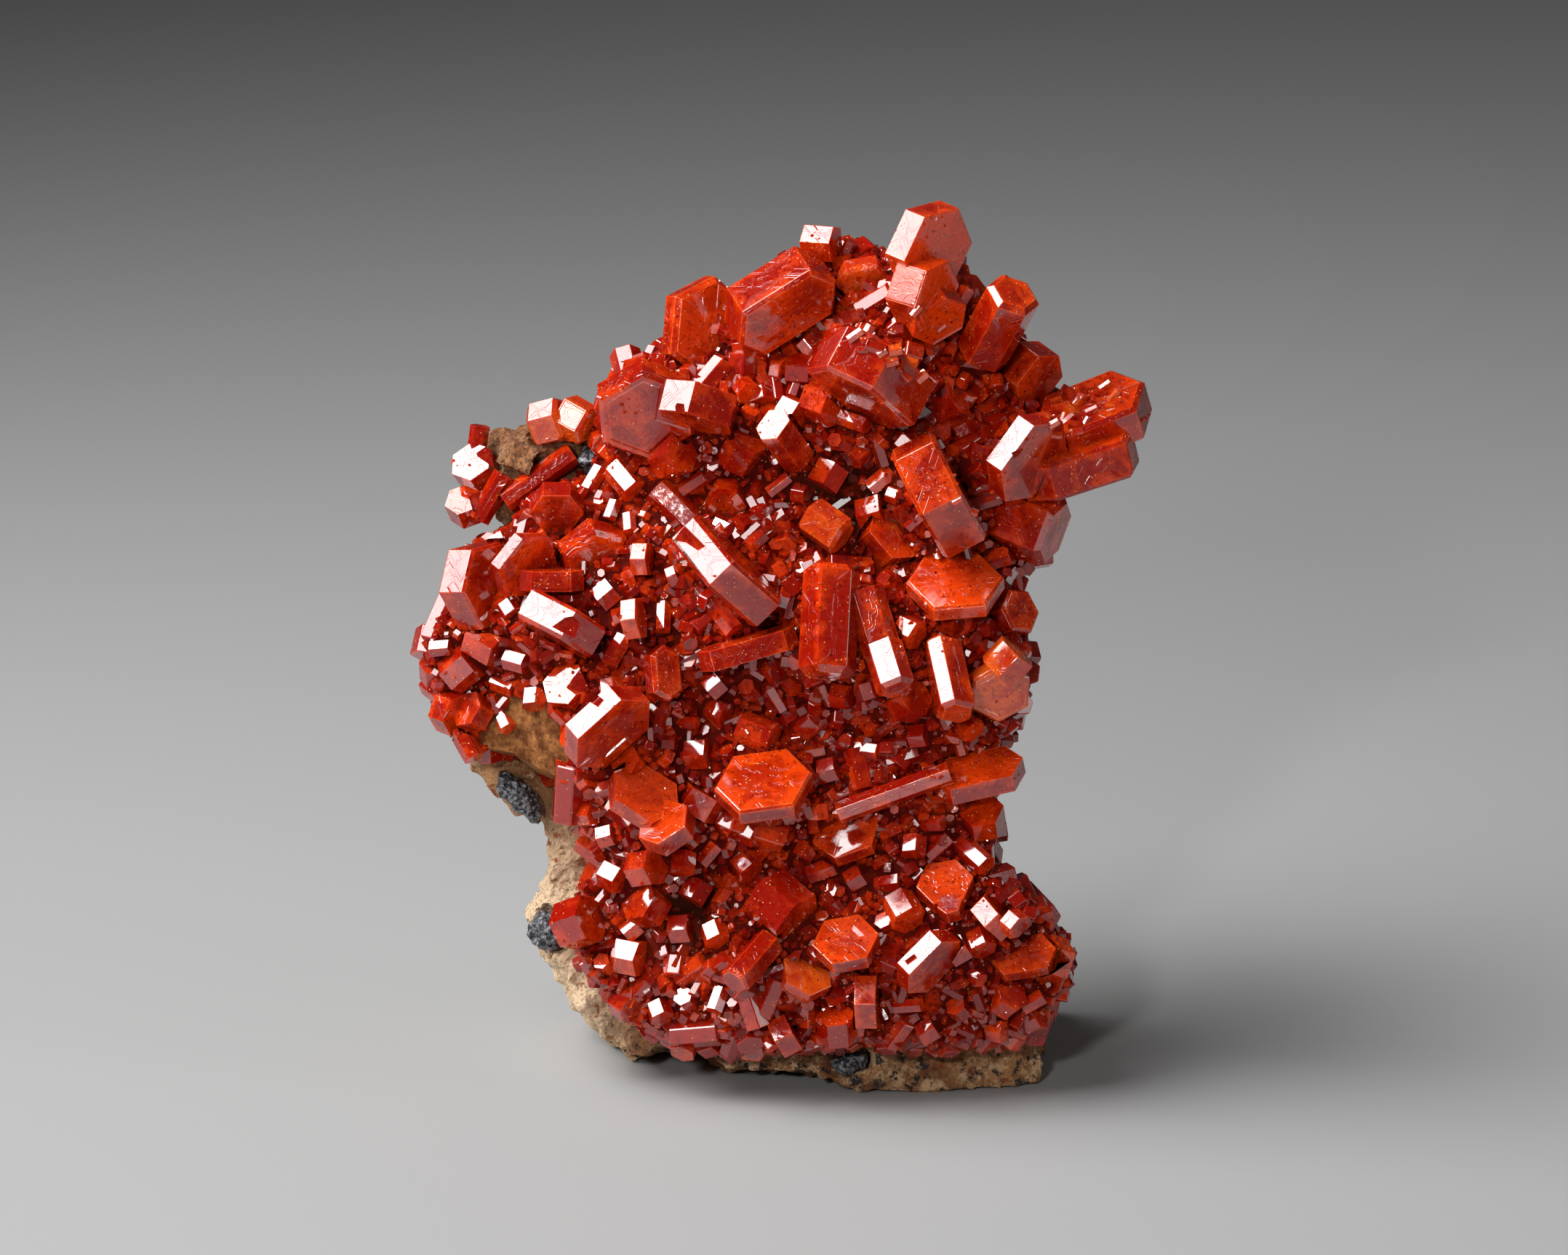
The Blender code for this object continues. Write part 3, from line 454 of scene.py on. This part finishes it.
base = mix_colour(arm, base, mix_colour(sand.ramp(0.36, 0.62), (0.07, 0.026, 0.012), (0.44, 0.17, 0.055)))
relief = sand * 0.6 + bed * 0.6 + hollow.ramp(0.0, 0.4) * 0.4
finish_material(tree, shader, base, sand * 0.2 + 0.75, relief, 0.00038)
rock = rough_copy("rock_body", "matrix", 0.00042, [(2.6, 0.00080), (1.1, 0.00045), (0.45, 0.00024)])
rock.data.materials.clear()
rock.data.materials.append(material)
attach(rock, "root")
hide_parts("matrix")


# Ore grains.
# Real piece: grains of dark grey metallic ore with broken, glinting facets, bedded in the rock.
material, tree, shader, place = new_material("dark_ore")
facet = cells_at(place, 2.6)
chip = noise_at(place, 2.2, 6.0, 0.7)
tint = mix_colour(chip.ramp(0.42, 0.62), (0.022, 0.022, 0.026), (0.34, 0.35, 0.37))
finish_material(tree, shader, tint, chip * 0.3 + 0.22, facet * 0.8 + chip * 0.8, 0.00022)
shader.inputs["Metallic"].default_value = 0.6
for name in ("ore_elbow", "ore_lobe", "ore_arm", "ore_foot"):
    grain = rough_copy(name + "_grain", name, 0.00016, [(0.8, 0.00030), (0.35, 0.00016)])
    grain.data.materials.clear()
    grain.data.materials.append(material)
    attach(grain, "root")
    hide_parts(name)


# Crust.
# Real piece: the sheet of small intergrown red crystals on the rock, with dark hollows between them.
# Its surface is the node's own; the small crystals below stand on it.
# The crust is darkened near the hollows too: painted shade.
crust_red = vanadinite(
    "vanadinite_crust", (0.075, 0.0025, 0.001), (0.26, 0.014, 0.002), (0.55, 0.10, 0.012), 0.8, PAINTED_SHADE_SPOTS)
crust_red.node_tree.nodes["Principled BSDF"].inputs["IOR"].default_value = 1.15
# Spot where the rock shows through, and how near to it no small crystal grows, in metres.
BARE_CENTRE = on_plate(-18.6, 26.6, 2.0)
BARE_RADIUS = 0.0059
tree = crust_red.node_tree
shader = tree.nodes["Principled BSDF"]
place = Wire(tree, tree.nodes["Vector Math"].outputs[0])
away = distance_from(place, BARE_CENTRE)
bare = 1.0 - (away + noise_at(place, 0.9) * 2.0).ramp(5.2, 6.4)
earth = noise_at(place, 0.7, 7.0, 0.7)
grit = noise_at(place, 2.6, 6.0, 0.75)
stony = mix_colour(earth.ramp(0.36, 0.66), (0.11, 0.034, 0.010), (0.42, 0.17, 0.055))
stony = mix_colour(grit.ramp(0.30, 0.48), (0.035, 0.016, 0.010), stony)
stony = mix_colour(grit.ramp(0.58, 0.68) * earth.ramp(0.44, 0.60), stony, (0.62, 0.34, 0.15))
crystal_colour = Wire(tree, shader.inputs["Base Color"].links[0].from_socket)
tree.links.new(mix_colour(bare, crystal_colour, stony).socket, shader.inputs["Base Color"])
relief = tree.nodes["Bump"].inputs["Height"]
tree.links.new((Wire(tree, relief.links[0].from_socket) + bare * (grit * 10.0 + earth * 8.0)).socket, relief)
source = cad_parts["crystal_crust"]
bm = bmesh.new()
bm.from_mesh(source.data)
bm.transform(source.matrix_world)
bmesh.ops.remove_doubles(bm, verts=bm.verts, dist=MERGE)
bmesh.ops.dissolve_limit(bm, angle_limit=math.radians(0.6), verts=bm.verts, edges=bm.edges)
bm.normal_update()
cap_layer = bm.faces.layers.float.new("cap")
tone_layer = bm.faces.layers.float.new("tone")
# The crystals grown into the crust are known by their faces, which meet at 60 or 90 degrees.
grown = set()
for edge in bm.edges:
    if len(edge.link_faces) == 2 and edge.is_convex:
        turn = math.degrees(edge.calc_face_angle())
        if min(abs(turn - 60.0), abs(turn - 90.0)) < 0.25:
            grown.update(edge.link_faces)
for face in bm.faces:
    face[tone_layer] = noise.noise(face.calc_center_median() * 400.0) * 0.9
    face[cap_layer] = 1.0 if face in grown and len(face.verts) >= 6 else 0.0
    face.material_index = 1 if face in grown else 0
small_faces = [[tuple(vert.co) for vert in face.verts] for face in grown]
mesh = bpy.data.meshes.new("crust_body")
bm.to_mesh(mesh)
bm.free()
mesh.materials.append(crust_red)
mesh.materials.append(red)
mesh.materials.append(edge_highlight_red)
crust = bpy.data.objects.new("crust_body", mesh)
bpy.context.scene.collection.objects.link(crust)
edges = crust.modifiers.new("edges", "BEVEL")
edges.width = FINE_EDGE
# The small crystals' bevels take the lighter edge material: painted highlight along the edges.
edges.material = 2
edges.limit_method = "ANGLE"
edges.angle_limit = math.radians(40.0)
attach(crust, "root")
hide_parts("crystal_crust")


# Small crystals.
# Real piece: the crowd of small vanadinite crystals, from dust to about 3 mm, that covers the crust.
# Each is a six-sided prism that grew from the crust; they are made as repeats on its front.

# Distance of a corner from the axis of a six-sided prism that is 1 wide across its flats.
CORNER = 0.577
# Gap to the solids in metres, and most crystals on a square metre.
GROWTH_GAP = 0.00015
DENSEST = 4.0e7
# Directions to the viewer, and of a face that mirrors the key light to the viewer.
TO_VIEWER = (0.0, -0.966, 0.259)
TOWARD_KEY = (-0.384, -0.681, 0.6235)
# Patches of the noise in a metre, and how far it frays the border of the bare spot, in metres.
PATCH_SCALE = 420.0
BARE_RAGGED = 0.003
FULL_TURN = 6.2831853
# A crystal near a solid is smaller: its width in mm is at most this much a metre of gap, and the least.
ROOM_PER_GAP = 900.0
LEAST_ROOM = 0.25


def seed_crystal(name, ratio, lying, rounded, squash=1.0):
    """One small crystal 1 mm wide, its root at the origin; lying ones show a side face upward."""
    bm = bmesh.new()
    corners = [(CORNER * math.cos(math.radians(60 * k)) * squash, CORNER * math.sin(math.radians(60 * k)))
               for k in range(6)]
    rings = [[bm.verts.new((x, y, height)) for x, y in corners] for height in (-ratio / 2.0, ratio / 2.0)]
    for k in range(6):
        bm.faces.new((rings[0][k], rings[0][(k + 1) % 6], rings[1][(k + 1) % 6], rings[1][k]))
    bm.faces.new(rings[1])
    bm.faces.new(rings[0][::-1])
    layer = bm.faces.layers.float.new("cap")
    for face in bm.faces:
        face[layer] = 1.0 if len(face.verts) == 6 else 0.0
    if rounded:
        bmesh.ops.bevel(bm, geom=bm.edges, offset=0.035, segments=1, affect="EDGES", profile=0.5)
    turn = Matrix.Rotation(math.radians(90.0), 4, "X") @ Matrix.Rotation(math.radians(30.0), 4, "Z")
    if not lying:
        turn = Matrix.Identity(4)
    bm.transform(Matrix.Scale(0.001, 4) @ turn)
    mesh = bpy.data.meshes.new(name)
    bm.to_mesh(mesh)
    bm.free()
    seeds.objects.link(bpy.data.objects.new(name, mesh))


def crystal_growth(name, coat_material, ground, solids, spacing, small, large, seed, pull, spread, keep,
                   clear=GROWTH_GAP, patchy=0.0):
    """Small crystals on a surface, kept clear of the solids, as one plain mesh.

    Each leans from the surface's normal by up to pull toward the key light's mirror and strays by spread.
    None grows where the surface faces the viewer less than keep, or where a noise lies below patchy.
    """
    tree = bpy.data.node_groups.new(name + "_tree", "GeometryNodeTree")
    tree.interface.new_socket("Geometry", in_out="INPUT", socket_type="NodeSocketGeometry")
    values = {"Solids": solids, "Seeds": seeds, "Spacing": spacing, "Smallest": small, "Largest": large,
              "Clear": clear}
    kinds = {"Solids": "NodeSocketObject", "Seeds": "NodeSocketCollection"}
    for label in values:
        tree.interface.new_socket(label, in_out="INPUT", socket_type=kinds.get(label, "NodeSocketFloat"))
    tree.interface.new_socket("Geometry", in_out="OUTPUT", socket_type="NodeSocketGeometry")

    def add(kind, inputs, **settings):
        """Outputs of a new node; its inputs go by name or number, each a value or another node's output."""
        made = tree.nodes.new(kind)
        for label, value in settings.items():
            setattr(made, label, value)
        for key, value in inputs.items():
            if isinstance(value, bpy.types.NodeSocket):
                tree.links.new(value, made.inputs[key])
            else:
                made.inputs[key].default_value = value
        return made.outputs

    def draw(low, high, step):
        """A random number for each crystal."""
        return add("FunctionNodeRandomValue", {2: low, 3: high, "Seed": seed + step})[1]

    def below(value, limit):
        """True where the value is less than the limit."""
        return add("FunctionNodeCompare", {"A": value, "B": limit}, operation="LESS_THAN")[0]

    entry = add("NodeGroupInput", {})
    scatter = {
        "Mesh": entry["Geometry"], "Distance Min": entry["Spacing"], "Density Max": DENSEST, "Seed": seed}
    points = add("GeometryNodeDistributePointsOnFaces", scatter, distribute_method="POISSON")
    solid = add("GeometryNodeObjectInfo", {"Object": entry["Solids"]})
    gap = add("GeometryNodeProximity", {0: solid["Geometry"]})["Distance"]
    normal = points["Normal"]
    facing = add("ShaderNodeVectorMath", {0: normal, 1: TO_VIEWER}, operation="DOT_PRODUCT")["Value"]
    patch = add("ShaderNodeTexNoise", {"Scale": PATCH_SCALE})["Fac"]
    spot = add("GeometryNodeInputPosition", {})[0]
    span = add("ShaderNodeVectorMath", {0: spot, 1: BARE_CENTRE}, operation="DISTANCE")["Value"]
    ragged = add("ShaderNodeMath", {0: patch, 1: BARE_RAGGED, 2: span}, operation="MULTIPLY_ADD")[0]
    left_out = below(facing, keep)
    for other in (below(gap, entry["Clear"]), below(patch, patchy), below(ragged, BARE_RADIUS)):
        left_out = add("FunctionNodeBooleanMath", {0: left_out, 1: other}, operation="OR")[0]
    scattered = {"Geometry": points["Points"], "Selection": left_out}
    kept = add("GeometryNodeDeleteGeometry", scattered, domain="POINT")["Geometry"]
    stray = {0: (-spread, -spread, -spread), 1: (spread, spread, spread), "Seed": seed + 1}
    wander = add("FunctionNodeRandomValue", stray, data_type="FLOAT_VECTOR")[0]
    lean = add("ShaderNodeMix", {0: draw(0.0, pull, 2), 4: normal, 5: TOWARD_KEY}, data_type="VECTOR")[1]
    aim = add("ShaderNodeVectorMath", {0: lean, 1: wander})["Vector"]
    aligned = add("FunctionNodeAlignRotationToVector", {"Vector": aim}, axis="Z")["Rotation"]
    spin = {"Axis": (0.0, 0.0, 1.0), "Angle": draw(0.0, FULL_TURN, 3)}
    around = add("FunctionNodeAxisAngleToRotation", spin)["Rotation"]
    both = {"Rotation": aligned, "Rotate By": around}
    turned = add("FunctionNodeRotateRotation", both, rotation_space="LOCAL")["Rotation"]
    room = add("ShaderNodeMath", {0: gap, 1: ROOM_PER_GAP, 2: LEAST_ROOM}, operation="MULTIPLY_ADD")[0]
    size = draw(entry["Smallest"], entry["Largest"], 4)
    fit = add("ShaderNodeMath", {0: size, 1: room}, operation="MINIMUM")[0]
    shapes = add("GeometryNodeCollectionInfo", {
        "Collection": entry["Seeds"], "Separate Children": True, "Reset Children": True})[0]
    plants = add("GeometryNodeInstanceOnPoints", {
        "Points": kept, "Instance": shapes, "Pick Instance": True, "Rotation": turned, "Scale": fit})[0]
    tinted = {"Geometry": plants, "Name": "tone", "Value": draw(-0.9, 0.9, 5)}
    marked = add("GeometryNodeStoreNamedAttribute", tinted, domain="INSTANCE")["Geometry"]
    plain = add("GeometryNodeRealizeInstances", {"Geometry": marked})["Geometry"]
    coated = add("GeometryNodeSetMaterial", {"Geometry": plain, "Material": coat_material})["Geometry"]
    add("NodeGroupOutput", {"Geometry": coated})

    made = bpy.data.objects.new(name, ground.data.copy())
    bpy.context.scene.collection.objects.link(made)
    grow = made.modifiers.new("grow", "NODES")
    grow.node_group = tree
    for item in tree.interface.items_tree:
        if item.in_out == "INPUT" and item.name in values:
            grow[item.identifier] = values[item.name]
    made.update_tag()
    mesh = bpy.data.meshes.new_from_object(made.evaluated_get(bpy.context.evaluated_depsgraph_get()))
    made.modifiers.clear()
    made.data = mesh
    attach(made, "root")


ground = bpy.data.objects.new("ground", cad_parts["crystal_crust"].data.copy())
ground.data.transform(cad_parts["crystal_crust"].matrix_world)
bm = bmesh.new()
for piece in cleared:
    bm.from_mesh(piece.data)
for corners in small_faces:
    bm.faces.new([bm.verts.new(corner) for corner in corners])
solid_mesh = bpy.data.meshes.new("solids")
bm.to_mesh(solid_mesh)
bm.free()
solids = bpy.data.objects.new("solids", solid_mesh)
bpy.context.scene.collection.objects.link(solids)

seeds = bpy.data.collections.new("medium_seeds")
seed_crystal("seed_long", 1.9, True, True)
seed_crystal("seed_square", 0.9, True, True, 1.2)
seed_crystal("seed_plate", 0.55, True, True, 1.1)
seed_crystal("seed_flat", 0.7, False, True, 0.85)
crystal_growth("medium_crystals", red, ground, solids, 0.00135, 0.9, 2.5, 11, 1.0, 0.42, 0.0)
seeds = bpy.data.collections.new("fine_seeds")
seed_crystal("seed_fine_long", 2.2, True, False)
seed_crystal("seed_fine_square", 0.9, True, False, 1.2)
seed_crystal("seed_fine_plate", 0.5, True, False)
seed_crystal("seed_fine_flat", 0.8, False, False, 0.85)
crystal_growth("fine_crystals", dusky_red, ground, solids, 0.00062, 0.35, 1.15, 27, 0.9, 0.65, -0.3)
# Dust sits on the large crystals themselves, in patches.
crystal_growth("dust_crystals", red, solids, crust, 0.00050, 0.06, 0.24, 63, 0.8, 0.8, 0.15, -1.0, 0.60)

# Edge crystals.
# Real piece: small crystals that sit on the edges and shoulders of the large ones, as the photograph shows.
# Each is placed by its spot in the front view and set on the solid behind it, where there is one.

# Place across and up, width, length and heading, in millimetres and degrees.
EDGE_CRYSTALS = [
    (4.6, 58.7, 0.7, 1.2, -30), (6.3, 58.0, 0.8, 1.1, 60), (6.2, 57.2, 0.6, 1.0, 20),
    (7.5, 57.2, 0.9, 1.2, -40), (7.3, 56.2, 0.6, 0.8, 30), (8.3, 56.4, 0.9, 1.0, 10),
    (8.7, 55.3, 0.6, 0.9, 75), (9.5, 55.6, 0.7, 1.0, -15), (10.3, 54.5, 0.8, 1.0, 40),
    (10.8, 56.1, 0.8, 1.4, -35), (11.8, 58.3, 0.5, 0.8, 40), (9.9, 59.4, 0.6, 1.0, 50),
    (5.9, 56.4, 0.5, 0.8, 0), (20.6, 52.9, 0.6, 1.0, 20), (21.4, 53.6, 0.8, 1.0, -30),
    (22.2, 52.6, 0.6, 0.9, 45), (22.9, 53.9, 0.7, 1.2, 10), (21.1, 51.6, 0.5, 0.8, 70),
    (23.6, 52.9, 0.5, 0.9, -20), (24.3, 54.0, 0.6, 1.0, 35), (21.9, 51.0, 0.7, 1.0, -10),
    (20.2, 51.0, 0.6, 0.9, 30), (22.8, 51.3, 0.5, 0.7, 60), (24.6, 52.4, 0.5, 0.8, 0),
    (3.9, 58.2, 0.6, 0.9, 10), (5.3, 57.5, 0.7, 1.3, 35), (6.8, 56.6, 0.9, 1.5, -20),
    (8.0, 55.5, 0.7, 1.1, 15), (9.0, 54.6, 0.6, 1.2, -45), (9.7, 56.7, 0.6, 1.3, 70),
    (11.2, 55.2, 0.7, 1.1, 5), (7.9, 58.0, 0.7, 1.4, -60), (20.8, 52.2, 0.9, 1.2, 15),
    (21.8, 52.1, 0.8, 1.3, -35), (22.4, 52.9, 0.9, 1.1, 60), (23.2, 52.1, 0.6, 1.0, 25),
    (21.5, 51.4, 0.7, 1.1, 40), (20.4, 50.2, 0.6, 1.0, -5), (23.9, 53.4, 0.7, 0.9, -15),
    (24.9, 53.2, 0.6, 1.1, 50), (22.1, 50.4, 0.5, 0.9, 20), (19.6, 51.6, 0.6, 0.8, -25),
    (12.9, 45.2, 0.5, 0.8, 30), (14.1, 44.4, 0.5, 0.9, -20),
]
bm = bmesh.new()
bm.from_mesh(solid_mesh)
bmesh.ops.triangulate(bm, faces=bm.faces)
behind = BVHTree.FromBMesh(bm)
bm.free()
bm = bmesh.new()
layer = bm.faces.layers.float.new("cap")
tone_layer = bm.faces.layers.float.new("tone")
for order, (across, up, width, length, heading) in enumerate(EDGE_CRYSTALS):
    place = behind.ray_cast(on_plate(across, up, IN_FRONT), INWARD)[0]
    if place is None:
        continue
    turn = math.radians(heading)
    along = on_plate(math.cos(turn), math.sin(turn), 0.0) - on_plate(0.0, 0.0, 0.0)
    axis_out = (Vector(TOWARD_KEY) - Vector(TOWARD_KEY).project(along)).normalized()
    axis_along = along.normalized()
    axis_side = axis_out.cross(axis_along)
    rings = []
    for end in (-0.5, 0.5):
        middle = place + axis_along * (end * length * 0.001)
        rings.append([
            bm.verts.new(
                middle + axis_out * (0.001 * CORNER * width * math.sin(math.radians(60 * k)))
                + axis_side * (0.001 * CORNER * width * math.cos(math.radians(60 * k)))
            )
            for k in range(6)
        ])
    sides = []
    for k in range(6):
        after = (k + 1) % 6
        sides.append(bm.faces.new((rings[0][k], rings[0][after], rings[1][after], rings[1][k])))
    ends = [bm.faces.new(rings[1]), bm.faces.new(rings[0][::-1])]
    for face in sides + ends:
        face[layer] = 1.0 if face in ends else 0.0
        face[tone_layer] = 0.9
        face.material_index = order % 2
bmesh.ops.recalc_face_normals(bm, faces=bm.faces)
bmesh.ops.bevel(bm, geom=bm.edges, offset=FINE_EDGE, segments=1, affect="EDGES", profile=0.5)
mesh = bpy.data.meshes.new("edge_crystals")
bm.to_mesh(mesh)
bm.free()
mesh.materials.append(red)
mesh.materials.append(amber)
edge_crystals = bpy.data.objects.new("edge_crystals", mesh)
bpy.context.scene.collection.objects.link(edge_crystals)
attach(edge_crystals, "root")

# The helpers go, and the bevels of the large crystals and of the crust become mesh.
bpy.data.objects.remove(solids)
bpy.data.objects.remove(ground)
for piece in cleared + [crust]:
    shaped = bpy.data.meshes.new_from_object(piece.evaluated_get(bpy.context.evaluated_depsgraph_get()))
    piece.modifiers.clear()
    piece.data = shaped


# Floor.
# A plain pale sheet that curves up behind the specimen, as the studio's surface.
bm = bmesh.new()
profile = [(-1.2, 0.0), (0.5, 0.0)]
for step in range(1, 9):
    turn = step * math.pi / 16.0
    profile.append((0.5 + 0.4 * math.sin(turn), 0.4 - 0.4 * math.cos(turn)))
profile.append((0.9, 1.6))
rows = [[bm.verts.new((side, y, z)) for y, z in profile] for side in (-1.6, 1.6)]
for k in range(len(profile) - 1):
    bm.faces.new((rows[0][k], rows[1][k], rows[1][k + 1], rows[0][k + 1]))
mesh = bpy.data.meshes.new("floor")
bm.to_mesh(mesh)
bm.free()
mesh.shade_smooth()
floor = bpy.data.objects.new("floor", mesh)
bpy.context.scene.collection.objects.link(floor)
material, tree, shader, place = new_material("pale_floor")
shader.inputs["Base Color"].default_value = (0.35, 0.35, 0.35, 1.0)
shader.inputs["Roughness"].default_value = 0.75
mesh.materials.append(material)
floor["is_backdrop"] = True

# Lights.
# A large soft key above and to the left, a small spot in front, a weak strip on the right, and a low card
# under the front that gives the lower faces their pink sheen.
centre = Vector((-0.004, -0.010, 0.034))


def soft_light(name, toward, distance, width, height, power, spread=180.0, colour=(1.0, 1.0, 1.0)):
    """A soft rectangular light that looks at the specimen."""
    lamp = bpy.data.lights.new(name, "AREA")
    lamp.shape = "RECTANGLE"
    lamp.size = width
    lamp.size_y = height
    lamp.energy = power
    lamp.color = colour
    lamp.spread = math.radians(spread)
    made = bpy.data.objects.new(name, lamp)
    bpy.context.scene.collection.objects.link(made)
    away = Vector(toward).normalized()
    made.location = centre + away * distance
    made.rotation_euler = away.to_track_quat("Z", "Y").to_euler()
    made.visible_camera = False
    return made


# Name, direction from the specimen, distance, width and height in metres, power in watts, spread in degrees.
soft_light("key", (-0.629, -0.150, 0.763), 0.42, 0.42, 0.34, 1.2, 90.0)
soft_light("front_spot", (-0.22, -0.90, 0.38), 0.60, 0.05, 0.05, 1.15)
soft_light("right_strip", (0.86, -0.30, 0.40), 0.60, 0.12, 0.4, 0.3)
card = soft_light("low_card", (0.0, -0.975, -0.195), 0.135, 0.24, 0.11, 0.045, colour=(1.0, 0.97, 0.95))
card.rotation_euler = (math.radians(176.0), 0.0, 0.0)
world = bpy.data.worlds.new("studio")
world.use_nodes = True
world.node_tree.nodes["Background"].inputs["Color"].default_value = (1.0, 1.0, 1.0, 1.0)
world.node_tree.nodes["Background"].inputs["Strength"].default_value = 0.03
bpy.context.scene.world = world

# Camera.
# It looks down by 15 degrees at the leaning plate, through a long lens, as the photograph does.
lens = bpy.data.cameras.new("camera")
lens.lens = 200.0
lens.sensor_width = 36.0
lens.clip_start = 0.01
camera = bpy.data.objects.new("camera", lens)
bpy.context.scene.collection.objects.link(camera)
outward = Vector((0.0, -0.96593, 0.25882))
upward = Vector((0.0, 0.25882, 0.96593))
# Width in metres of what the picture shows at the aim.
VIEW_WIDTH = 0.1186
aim_at = Vector((-0.004, -0.013, 0.0)) + upward * 0.03575 + outward * 0.005
camera.location = aim_at + outward * (VIEW_WIDTH * lens.lens / lens.sensor_width)
camera.rotation_euler = outward.to_track_quat("Z", "Y").to_euler()
bpy.context.scene.camera = camera
bpy.context.scene.view_settings.view_transform = "Standard"

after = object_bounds()
